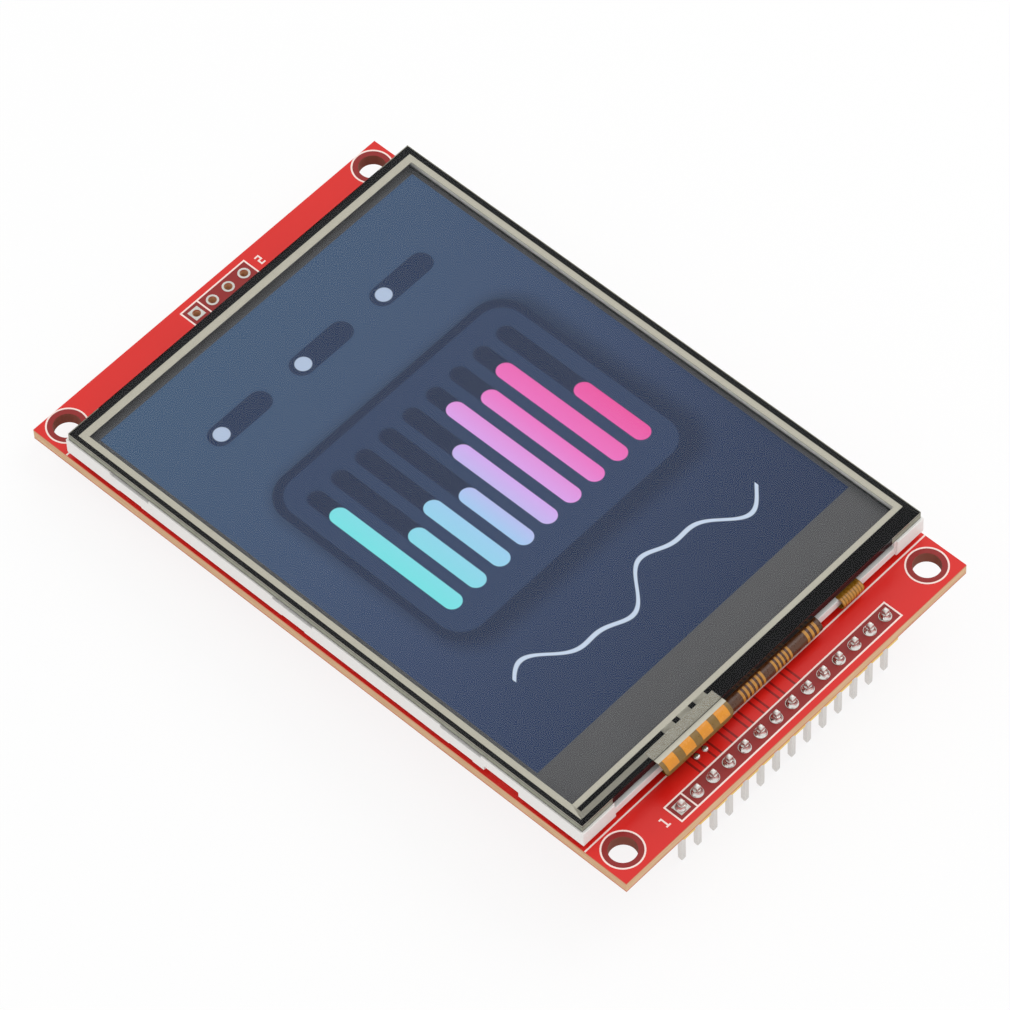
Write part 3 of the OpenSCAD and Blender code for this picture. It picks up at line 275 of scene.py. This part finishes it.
# %% Metals and prints
finishes["legend_ink"] = grained(
    "screen_printed_legend", ("#f4d4cb", "#fff0ea"), 0.15, (0.6, 0.8), 0.006)
finishes["tinned_copper"] = grained(
    "hot_tinned_copper", ("#b9b7b0", "#dedcd6"), 0.5, (0.22, 0.4), 0.01, Metallic=1.0)
finishes["solder"] = grained(
    "bright_solder", ("#c4c3c1", "#f0efec"), 0.35, (0.12, 0.3), 0.03, Metallic=1.0)
finishes["pin_metal"] = grained(
    "tin_plated_brass_wire", ("#cfcbc6", "#e9e6e2"), 0.2, (0.3, 0.45), 0.004,
    stretch=(1, 1, 0.08), Metallic=1.0)
finishes["lead_tin"] = grained(
    "tin_plated_lead_frame", ("#c6c6c4", "#e4e4e2"), 0.15, (0.3, 0.45), 0.004, Metallic=1.0)
finishes["end_tin"] = grained(
    "tin_dipped_end_caps", ("#c9c8c4", "#ecebe7"), 0.25, (0.2, 0.38), 0.01, Metallic=1.0)
print("finishes so far:", len(finishes))

# %% [markdown]
# ## Plastics
# The header body is glass-filled nylon, moulded yellow, with a faintly mottled matt
# skin. The frame round the backlight is white polycarbonate with a satin spark-eroded
# face. The card socket is black liquid-crystal polymer, which flows in pale streaks, and
# the chips are moulded in dark epoxy filled with silica.

# %% Moulded plastics
finishes["header_plastic"] = grained(
    "yellow_nylon_moulding", ("#ecc35e", "#f7d980"), 0.3, (0.5, 0.65), 0.006)
finishes["white_frame"] = grained(
    "white_polycarbonate_frame", ("#eae8e5", "#f5f3f0"), 0.25, (0.38, 0.5), 0.004)
finishes["socket_plastic"] = grained(
    "black_crystal_polymer", ("#1c1c1e", "#2c2c2e"), 0.4, (0.4, 0.55), 0.005,
    stretch=(1, 0.2, 1))
finishes["chip_body"] = grained(
    "moulded_chip_epoxy", ("#1d1e20", "#2e2f32"), 0.08, (0.5, 0.7), 0.006)
finishes["led_body"] = grained(
    "diode_body_with_phosphor", ("#f3e9b8", "#fbf6dd"), 0.2, (0.4, 0.5), 0.004)
finishes["guide_acrylic"] = grained(
    "clear_acrylic_light_guide", ("#e4eff2", "#f3f9fa"), 0.6, (0.05, 0.12), Alpha=0.6)
print("finishes so far:", len(finishes))

# %% [markdown]
# ## Films, foams, glass and ceramics
# Under the picture lie a mirror film, a milky diffuser and two ribbed films. Black tapes
# and a black foam gasket keep stray light in. Thin glass looks clear from above and
# dark green-grey at its cut edges. Resistors are glazed black, and the capacitors'
# ceramic is fired to a matt brown.

# %% Films and inner sheets
finishes["foam_tape"] = grained(
    "white_foam_tape", ("#cfcac0", "#efebe2"), 0.12, (0.85, 0.95), 0.03)
finishes["reflector_film"] = grained(
    "mirror_film", ("#f1f2f3", "#ffffff"), 4.0, (0.04, 0.1), Metallic=1.0)
finishes["diffuser_film"] = grained(
    "milky_diffuser_film", ("#eeeeea", "#fafaf7"), 0.1, (0.6, 0.75), 0.004)
finishes["prism_film"] = grained(
    "ribbed_prism_film", ("#e2e5e8", "#f5f7f9"), 0.15, (0.2, 0.35), 0.01,
    stretch=(0.02, 1, 1), Alpha=0.8)
finishes["black_tape"] = grained(
    "black_tape", ("#101011", "#1a1a1c"), 0.2, (0.45, 0.6), 0.004,
    Specular_IOR_Level=0.15)
finishes["gasket_foam"] = grained(
    "black_foam_gasket", ("#101011", "#1c1c1e"), 0.1, (0.8, 0.95), 0.03)
finishes["polariser"] = grained(
    "grey_polarising_film", ("#5a5a5c", "#626264"), 1.0, (0.3, 0.4), 0.002,
    Specular_IOR_Level=0.1)
finishes["display_glass"] = grained(
    "thin_display_glass", ("#1b1d1d", "#242727"), 2.0, (0.1, 0.2),
    Specular_IOR_Level=0.12)
finishes["filter_glass"] = grained(
    "dark_filter_glass", ("#262a2b", "#313536"), 2.0, (0.1, 0.2),
    Specular_IOR_Level=0.12)
finishes["chip_silicon"] = grained(
    "bare_silicon", ("#33363e", "#454a55"), 0.6, (0.08, 0.15), Metallic=0.6)
finishes["resistor_film"] = grained(
    "glazed_resistor_film", ("#1b1b1e", "#2b2b30"), 0.3, (0.15, 0.3), 0.004)
finishes["capacitor_ceramic"] = grained(
    "fired_capacitor_ceramic", ("#a07c54", "#bd9a72"), 0.2, (0.5, 0.65), 0.006)
finishes["socket_steel"] = grained(
    "rolled_stainless_steel", ("#b5b5b4", "#d2d2d1"), 0.12, (0.28, 0.42), 0.004,
    stretch=(0.03, 1, 1), Metallic=1.0)
finishes["contact_gold"] = grained(
    "gold_plated_springs", ("#c99a45", "#e6c06c"), 0.3, (0.2, 0.32), 0.004, Metallic=1.0)
print("finishes so far:", len(finishes))

# %% [markdown]
# ## Flexes and the touch panel's prints
# A flex is copper foil between two polyimide films. Over copper it looks golden, and
# between tracks it looks dark brown. The touch panel's bars are printed in a dull silver
# paste, and the border is black ink.

# %% Flexes and printed bars
finishes["lamp_flex"] = grained(
    "amber_polyimide_over_copper", ("#7d5414", "#a87420"), 0.4, (0.2, 0.35), 0.004)
finishes["flex_copper"] = grained(
    "copper_tracks_under_film", ("#a86a1e", "#d2963a"), 0.4, (0.25, 0.38), 0.004)
finishes["main_flex"] = grained(
    "brown_polyimide", ("#44240f", "#5e3416"), 0.4, (0.22, 0.38), 0.004)
finishes["tail_film"] = grained(
    "olive_polyimide", ("#6e4f1c", "#8a6a28"), 0.4, (0.25, 0.4), 0.004)
finishes["tail_copper"] = grained(
    "copper_under_amber_film", ("#cd7e12", "#e6971f"), 0.9, (0.2, 0.32), 0.006)
finishes["tail_cover"] = grained(
    "pale_cover_film", ("#b9b5a4", "#cbc7b7"), 0.4, (0.4, 0.55), 0.006)
finishes["silver_ink"] = grained(
    "silver_paste_print", ("#a8a595", "#bdb9aa"), 0.18, (0.5, 0.65), 0.006)
finishes["black_ink"] = grained(
    "black_border_ink", ("#0d0e0f", "#141517"), 0.6, (0.3, 0.4), 0.002,
    Specular_IOR_Level=0.12)
print("finishes so far:", len(finishes))

# %% [markdown]
# The touch panel's glass and film are clear from above, but their cut edges are not: light
# runs along inside the sheet and the edge looks olive grey. The normal again tells face
# from edge, and it sets how much the surface hides. Along the open front the edge is
# painted nearly black, a painted shade for the shaded inside of the module seen through it.

# %% Clear sheets with olive edges
OPEN_FRONT_HALF = 22.5


def clear_sheet(name, haze, gloss, edge_tone, face_tone):
    """A sheet that is nearly clear on its faces and coloured at its cut edges.

    haze is how much the faces hide, and gloss how strongly they mirror the room.
    """
    material, tree, shader, mm = start_finish(name, Roughness=0.12, Specular_IOR_Level=gloss)
    normal = add(tree, "NewGeometry").outputs["Normal"]
    _, facing_y, facing_z = add(tree, "SeparateXYZ", {0: normal}).outputs
    side_x = maths(tree, "ABSOLUTE", add(tree, "SeparateXYZ", {0: mm}).outputs[0])
    is_face = maths(tree, "GREATER_THAN", maths(tree, "ABSOLUTE", facing_z), 0.5)
    open_front_shade = maths(tree, "MULTIPLY", maths(tree, "LESS_THAN", facing_y, -0.5),
                       maths(tree, "LESS_THAN", side_x, OPEN_FRONT_HALF))
    cut = add(tree, "TexNoise", {"Vector": mm, "Scale": 1.2, "Detail": 4.0}).outputs[0]
    edge = add(tree, "Mix", {0: cut, 6: linear(edge_tone[0]), 7: linear(edge_tone[1])},
               data_type="RGBA").outputs[2]
    # Painted shade: along the open front the cut edge is painted near black
    edge = add(tree, "Mix", {0: open_front_shade, 6: edge, 7: linear("#1b1b1c")},
               data_type="RGBA").outputs[2]
    tone = add(tree, "Mix", {0: is_face, 6: edge, 7: linear(face_tone)},
               data_type="RGBA").outputs[2]
    tree.links.new(tone, shader.inputs["Base Color"])
    cover = add(tree, "MapRange", {"Value": is_face, "To Min": 0.94, "To Max": haze}).outputs[0]
    tree.links.new(cover, shader.inputs["Alpha"])
    return material


finishes["touch_glass"] = clear_sheet(
    "touch_glass", 0.005, 0.08, ("#7c7d6e", "#a9aa98"), "#dfe6e2")
finishes["touch_film"] = clear_sheet(
    "hard_coated_film", 0.01, 0.2, ("#8d8a7a", "#bab6a4"), "#e6e8ea")
print("finishes so far:", len(finishes))

# %% [markdown]
# ## The lit screen
# The picture shines through the top polariser, so the finish is mostly emission: a
# slate-blue ground that darkens downwards, three sliders, a sunken card with a row of
# bars that run from cyan to magenta, and a smooth trace below. Below the picture a bare
# strip of the panel stays neutral grey. Everything is drawn from distances in
# millimetres, so it stays sharp at any size.

# %% A plain dashboard for the screen
screen, tree, shader, mm = start_finish("lit_screen_under_polariser", Roughness=0.3,
                                        Specular_IOR_Level=0.1)
x, y, _ = add(tree, "SeparateXYZ", {0: mm}).outputs
LIT_LEFT, LIT_RIGHT, LIT_LOW, LIT_HIGH = -24.9, 25.25, -29.9, 36.0
# The screen is drawn flat: a half height so large that z never counts
ANY_HEIGHT = 1000


def soft_step(tree, value, edge, width):
    """1 below the edge and 0 above it, over width millimetres."""
    return add(tree, "MapRange", {"Value": value, "From Min": edge + width / 2,
                                  "From Max": edge - width / 2},
               interpolation_type="SMOOTHSTEP").outputs[0]


def card_distance(tree, centre, half, corner):
    """Distance from a card with rounded corners, negative inside."""
    local = add(tree, "VectorMath", {0: mm, 1: centre + (0,)}, operation="SUBTRACT").outputs[0]
    fold = add(tree, "VectorMath", {0: local}, operation="ABSOLUTE").outputs[0]
    inner = tuple(h - corner for h in half)
    past = add(tree, "VectorMath", {0: fold, 1: inner + (ANY_HEIGHT,)},
               operation="SUBTRACT").outputs[0]
    past = add(tree, "VectorMath", {0: past, 1: (0, 0, 0)}, operation="MAXIMUM").outputs[0]
    length = add(tree, "VectorMath", {0: past}, operation="LENGTH").outputs["Value"]
    return maths(tree, "SUBTRACT", length, corner)


def over(tree, below, above, share):
    """Lays one colour over another."""
    return add(tree, "Mix", {0: share, 6: below, 7: above}, data_type="RGBA").outputs[2]


slope = maths(tree, "ADD", y, maths(tree, "MULTIPLY", x, -0.25))
height = add(tree, "MapRange", {"Value": slope, "From Min": -35, "From Max": 40}).outputs[0]
picture = add(tree, "ValToRGB", {0: height}, stops=[
    (0.03, "#1f2f4f"), (0.39, "#2f4061"), (0.61, "#364a6a"), (1.0, "#3c5572")]).outputs[0]
# A card with a dark rim, over its own soft shadow; each is centre, half size, corner
CARD_SHADOW = ((1.0, 1.2), (20.4, 16.4), 5.0)
CARD_RIM = ((0.5, 2.0), (19.5, 15.5), 4.0)
CARD_FACE = ((0.5, 2.0), (18.4, 14.4), 3.2)
SHADOW_BLUR, SHADOW_SHARE, LINE_BLUR = 3.0, 0.6, 0.15
shadow = soft_step(tree, card_distance(tree, *CARD_SHADOW), 0, SHADOW_BLUR)
picture = over(tree, picture, linear("#14203a"), maths(tree, "MULTIPLY", shadow, SHADOW_SHARE))
for shape, tone in ((CARD_RIM, "#1d2c49"), (CARD_FACE, "#2b3d5e")):
    inside = soft_step(tree, card_distance(tree, *shape), 0, LINE_BLUR)
    picture = over(tree, picture, linear(tone), inside)
# Nine bars, each with its own height, on one base line
BAR_PITCH, BAR_HALF, BAR_BASE, BAR_BLUR = 3.8, 1.15, -9.0, 0.12
TRACK_TOP = 13.6
from_middle = maths(tree, "SUBTRACT", x, CARD_FACE[0][0])
beside = maths(tree, "PINGPONG", from_middle, BAR_PITCH / 2)
number = maths(tree, "ROUND", maths(tree, "DIVIDE", from_middle, BAR_PITCH))
swell = maths(tree, "SINE", maths(tree, "MULTIPLY", number, 0.9))
ripple = maths(tree, "SINE", maths(tree, "MULTIPLY", number, 2.7))
bar_high = maths(tree, "ADD", maths(tree, "MULTIPLY", swell, 4.6),
                 maths(tree, "MULTIPLY", ripple, 2.2))
bar_high = maths(tree, "ADD", bar_high, 6.0)
in_rows = maths(tree, "LESS_THAN", maths(tree, "ABSOLUTE", number), 4.5)


def bar_distance(tree, top):
    """Distance from the nearest upright bar that ends at height top."""
    middle = maths(tree, "MULTIPLY", maths(tree, "ADD", top, BAR_BASE), 0.5)
    half = maths(tree, "MULTIPLY", maths(tree, "SUBTRACT", top, BAR_BASE), 0.5)
    along = maths(tree, "ABSOLUTE", maths(tree, "SUBTRACT", y, middle))
    past = maths(tree, "SUBTRACT", along, maths(tree, "SUBTRACT", half, BAR_HALF))
    past = maths(tree, "MAXIMUM", past, 0.0)
    gap = add(tree, "CombineXYZ", {0: beside, 1: past}).outputs[0]
    length = add(tree, "VectorMath", {0: gap}, operation="LENGTH").outputs["Value"]
    return maths(tree, "SUBTRACT", length, BAR_HALF)


track = soft_step(tree, bar_distance(tree, TRACK_TOP), 0, BAR_BLUR)
track = maths(tree, "MULTIPLY", track, in_rows)
picture = over(tree, picture, linear("#1c2a47"), track)
bars = soft_step(tree, bar_distance(tree, bar_high), 0, BAR_BLUR)
bars = maths(tree, "MULTIPLY", bars, in_rows)
across = add(tree, "MapRange", {"Value": from_middle, "From Min": -17,
                                "From Max": 17}).outputs[0]
glow = add(tree, "ValToRGB", {0: across}, stops=[
    (0.0, "#6fe0e0"), (0.35, "#9fc9ee"), (0.55, "#d6a4ec"), (0.75, "#ea74c4"),
    (1.0, "#ea4f9c")]).outputs[0]
picture = over(tree, picture, glow, bars)
# A smooth trace below the card, the sum of two sines
WAVE_Y, WAVE_HALF, WAVE_BLUR = -21.5, 0.28, 0.16
wave = maths(tree, "MULTIPLY", maths(tree, "SINE", maths(tree, "MULTIPLY", x, 0.3)), 2.0)
wave = maths(tree, "ADD", wave, maths(
    tree, "MULTIPLY", maths(tree, "SINE", maths(tree, "MULTIPLY", x, 0.71)), 0.8))
off_wave = maths(tree, "ABSOLUTE", maths(
    tree, "SUBTRACT", y, maths(tree, "ADD", wave, WAVE_Y)))
in_plot = maths(tree, "LESS_THAN", maths(tree, "ABSOLUTE", from_middle), CARD_FACE[1][0])
in_wave = maths(tree, "MULTIPLY", soft_step(tree, off_wave, WAVE_HALF, WAVE_BLUR), in_plot)
picture = over(tree, picture, linear("#c4d3e6"), in_wave)
# Three sliders above the card, each a dark pill with a pale round knob near its left end
SLIDER_Y, KNOB_ASIDE, KNOB_R = 26.5, 2.9, 1.0
for slider_x in (-12.5, 0.5, 13.5):
    pill = card_distance(tree, (slider_x, SLIDER_Y), (4.6, 1.5), 1.5)
    picture = over(tree, picture, linear("#203150"), soft_step(tree, pill, 0, LINE_BLUR))
    knob = card_distance(tree, (slider_x - KNOB_ASIDE, SLIDER_Y), (KNOB_R, KNOB_R), KNOB_R)
    picture = over(tree, picture, linear("#aebfd8"), soft_step(tree, knob, 0, LINE_BLUR))
# Only the lit field shines; the rest of the panel is a plain grey sheet
in_x = maths(tree, "COMPARE", x, (LIT_LEFT + LIT_RIGHT) / 2, (LIT_RIGHT - LIT_LEFT) / 2)
in_y = maths(tree, "COMPARE", y, (LIT_LOW + LIT_HIGH) / 2, (LIT_HIGH - LIT_LOW) / 2)
lit = maths(tree, "MULTIPLY", in_x, in_y)
tree.links.new(over(tree, (0, 0, 0, 1), picture, lit), shader.inputs["Emission Color"])
shader.inputs["Emission Strength"].default_value = 1.0
haze = add(tree, "TexNoise", {"Vector": mm, "Scale": 0.3, "Detail": 2.0}).outputs[0]
bare = over(tree, linear("#525254"), linear("#575759"), haze)
tree.links.new(over(tree, bare, linear("#0c0d10"), lit), shader.inputs["Base Color"])
finishes["screen"] = screen
print("screen finish has", len(tree.nodes), "nodes")

# %% [markdown]
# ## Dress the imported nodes
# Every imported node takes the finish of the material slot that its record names.

# %% Put each finish on its nodes
slot_of = {part["node"]: part["material_slot"] for part in frame["record"]["subparts"]}
for name, piece in nodes.items():
    piece.data.materials.clear()
    piece.data.materials.append(finishes[slot_of[name]])
print("dressed", len(nodes), "nodes with", len(set(slot_of.values())), "finishes")

# %% [markdown]
# ## Softened edges
# No moulded or stamped edge is knife-sharp: it catches a thin line of light. A copy of
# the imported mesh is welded, its flat faces are joined, and its sharp edges are bevelled
# by a real radius. Bent flexes keep their shape and only shade smoothly.

# %% Copies with bevelled or smooth edges
def place_piece(bm, name, finish, body="root", smooth_below=30.0):
    """Makes an object from a bmesh, shades it and lets it ride on the part."""
    limit = math.radians(smooth_below)
    for face in bm.faces:
        face.smooth = True
    for edge in bm.edges:
        edge.smooth = edge.is_manifold and edge.calc_face_angle(math.pi) < limit
    mesh = bpy.data.meshes.new(name)
    bm.to_mesh(mesh)
    bm.free()
    mesh.materials.append(finishes[finish])
    piece = bpy.data.objects.new(name, mesh)
    bpy.context.scene.collection.objects.link(piece)
    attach(piece, body)
    return piece


def welded_copy(node):
    """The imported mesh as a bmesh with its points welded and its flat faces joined."""
    bm = bmesh.new()
    bm.from_mesh(nodes[node].data)
    bmesh.ops.remove_doubles(bm, verts=bm.verts, dist=0.002 * MM)
    bmesh.ops.dissolve_limit(bm, angle_limit=math.radians(0.5), verts=bm.verts,
                             edges=bm.edges, use_dissolve_boundaries=False)
    return bm


def soften(node, name, radius_mm, segments=2, sharp_from=30):
    """Replaces a node by a copy whose sharp edges have a radius."""
    bm = welded_copy(node)
    sharp = [e for e in bm.edges
             if e.is_manifold and e.calc_face_angle(0.0) > math.radians(sharp_from)]
    bmesh.ops.bevel(bm, geom=sharp, offset=radius_mm * MM, offset_type="OFFSET",
                    affect="EDGES", segments=segments, profile=0.5, material=-1,
                    clamp_overlap=True)
    bmesh.ops.recalc_face_normals(bm, faces=bm.faces)
    count = len(bm.faces)
    piece = place_piece(bm, name, slot_of[node], smooth_below=20.0)
    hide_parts(node)
    return count


for node, name, radius in (
        ("header_body", "header_moulding", 0.08),
        ("header_pins", "header_wires", 0.04),
        ("backlight_frame", "frame_moulding", 0.06),
        ("card_socket_base", "socket_moulding", 0.04),
        ("card_socket_shell", "socket_cover", 0.05),
        ("touch_controller_body", "controller_moulding", 0.04),
        ("regulator_body", "regulator_moulding", 0.04),
        ("transistor_body", "transistor_moulding", 0.04),
        ("resistor_caps", "resistor_end_caps", 0.03),
        ("capacitor_caps", "capacitor_end_caps", 0.04)):
    print(name, "faces:", soften(node, name, radius))

# %% Smooth bends for the flexes
for node, name in (("display_flex", "display_ribbon"),
                   ("display_flex_tracks", "display_ribbon_tracks"),
                   ("backlight_flex", "lamp_ribbon"),
                   ("backlight_flex_tracks", "lamp_ribbon_tracks"),
                   ("touch_tail", "tail_ribbon"),
                   ("touch_tail_tracks", "tail_ribbon_tracks"),
                   ("touch_tail_cover", "tail_ribbon_cover")):
    ribbon = place_piece(welded_copy(node), name, slot_of[node], smooth_below=35.0)
    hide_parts(node)
    print(name, "faces:", len(ribbon.data.polygons))

# %% [markdown]
# ## Solder joints
# Molten solder wets the pad and climbs the pin, so each joint is a small tent with
# hollow sides. One half profile is spun round the pin, and each copy is pulled a little
# out of round, because no two joints set alike.

# %% Spin the solder joints
PAD_R, NECK_R, JOINT_H, BARREL_R = 0.7, 0.42, 0.6, 0.5
SPIN_STEPS, RISE_STEPS, HOLLOW = 28, 8, 1.6
foot_z, board_t = 0.035, -board_low[2]
profile = [(0.0, -board_t), (BARREL_R, -board_t), (BARREL_R, foot_z), (PAD_R, foot_z)]
for step in range(1, RISE_STEPS + 1):
    rise_share = step / RISE_STEPS
    reach = NECK_R + (PAD_R - NECK_R) * (1 - rise_share) ** HOLLOW
    profile.append((reach, foot_z + JOINT_H * rise_share))
profile.append((0.0, foot_z + JOINT_H))
joints = bmesh.new()
for pin in range(pin_count):
    one = bmesh.new()
    corners = [one.verts.new((r * MM, 0, h * MM)) for r, h in profile]
    for a, b in zip(corners, corners[1:]):
        one.edges.new((a, b))
    bmesh.ops.spin(one, geom=one.verts[:] + one.edges[:], cent=(0, 0, 0), axis=(0, 0, 1),
                   angle=math.tau, steps=SPIN_STEPS, use_merge=True)
    bmesh.ops.remove_doubles(one, verts=one.verts, dist=0.001 * MM)
    bmesh.ops.recalc_face_normals(one, faces=one.faces)
    # Only what stands above the board goes out of round: the barrel fills its hole
    for vert in one.verts:
        round_pin = math.atan2(vert.co.y, vert.co.x)
        if vert.co.z > 0.1 * MM:
            swell = 1 + 0.10 * math.sin(2 * round_pin + 1.9 * pin) + 0.05 * math.sin(
                3 * round_pin + 4.1 * pin + vert.co.z / MM * 3)
            vert.co.x *= swell
            vert.co.y *= swell
    bmesh.ops.translate(one, verts=one.verts,
                        vec=((pin_x0 + pin * pin_pitch) * MM, pin_y * MM, 0))
    mesh = bpy.data.meshes.new("one_joint")
    one.to_mesh(mesh)
    one.free()
    joints.from_mesh(mesh)
    bpy.data.meshes.remove(mesh)
solder = place_piece(joints, "solder_tents", "solder", smooth_below=50.0)
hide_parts("solder_joints")
print("solder joints:", pin_count, "faces:", len(solder.data.polygons))

# %% [markdown]
# ## Floor, world and lamp
# The module stands on its pin tips and on the card socket's far edge, so the floor is
# tilted by a few degrees in the part's frame. The world gives an even studio light, and
# one big soft lamp from the upper right gives the faces their modelling.

# %% Floor under the pins and the socket
FLOOR_HALF, FLOOR_GLOW = 3.0, 0.86
socket_low, socket_high = box_mm("card_socket_shell")
run = socket_high[1] - pin_y
FLOOR_TILT = math.atan2(socket_low[2] - pin_low[2], run)
floor_mesh = bmesh.new()
bmesh.ops.create_grid(floor_mesh, x_segments=1, y_segments=1, size=FLOOR_HALF)
lean = Matrix.Rotation(FLOOR_TILT, 4, "X")
drop = Vector((0, pin_y * MM, pin_low[2] * MM))
bmesh.ops.transform(floor_mesh, verts=floor_mesh.verts,
                    matrix=Matrix.Translation(drop) @ lean)
mesh = bpy.data.meshes.new("floor")
floor_mesh.to_mesh(mesh)
floor_mesh.free()
floor = bpy.data.objects.new("floor", mesh)
bpy.context.scene.collection.objects.link(floor)
paper = bpy.data.materials.new("white_paper_sweep")
paper.use_nodes = True
tree = paper.node_tree
tree.nodes.clear()
sheet = add(tree, "BsdfDiffuse", {"Color": (0.93, 0.93, 0.93, 1)}).outputs[0]
white = add(tree, "Emission", {"Color": (1, 1, 1, 1), "Strength": 1.0}).outputs[0]
rays = add(tree, "LightPath").outputs
seen = maths(tree, "MAXIMUM", rays["Is Camera Ray"],
             maths(tree, "MAXIMUM", rays["Is Glossy Ray"], rays["Is Transmission Ray"]))
# Seen straight or mirrored, the paper glows nearly white and still holds the shadow
blend = maths(tree, "MULTIPLY", seen, FLOOR_GLOW)
add(tree, "OutputMaterial", {"Surface": add(tree, "MixShader", {
    0: blend, 1: sheet, 2: white}).outputs[0]})
mesh.materials.append(paper)
print("floor tilt in degrees:", round(math.degrees(FLOOR_TILT), 2))

# %% World and lamp
# White where the camera looks past the module, and a little dimmer as a light
SKY_LIGHT, SKY_SEEN = 0.88, 1.0
world = bpy.data.worlds.new("studio")
bpy.context.scene.world = world
world.use_nodes = True
tree = world.node_tree
tree.nodes.clear()
rays = add(tree, "LightPath").outputs
seen = maths(tree, "MAXIMUM", rays["Is Camera Ray"],
             maths(tree, "MAXIMUM", rays["Is Glossy Ray"], rays["Is Transmission Ray"]))
strength = add(tree, "MapRange", {"Value": seen, "To Min": SKY_LIGHT,
                                  "To Max": SKY_SEEN}).outputs[0]
add(tree, "OutputWorld", {"Surface": add(tree, "Background", {
    "Color": (1, 1, 1, 1), "Strength": strength}).outputs[0]})

LAMP_PLACE = Vector((0.55, -0.12, 0.60))
lamp = bpy.data.lights.new("soft_box", "AREA")
lamp.shape, lamp.size, lamp.energy = "SQUARE", 0.45, 1.6
soft_box = bpy.data.objects.new("soft_box", lamp)
soft_box.matrix_world = (Matrix.Translation(LAMP_PLACE)
                         @ LAMP_PLACE.to_track_quat("Z", "Y").to_matrix().to_4x4())
bpy.context.scene.collection.objects.link(soft_box)
bpy.context.scene.view_settings.view_transform = "Standard"
print("lamp distance in mm:", round(LAMP_PLACE.length / MM))
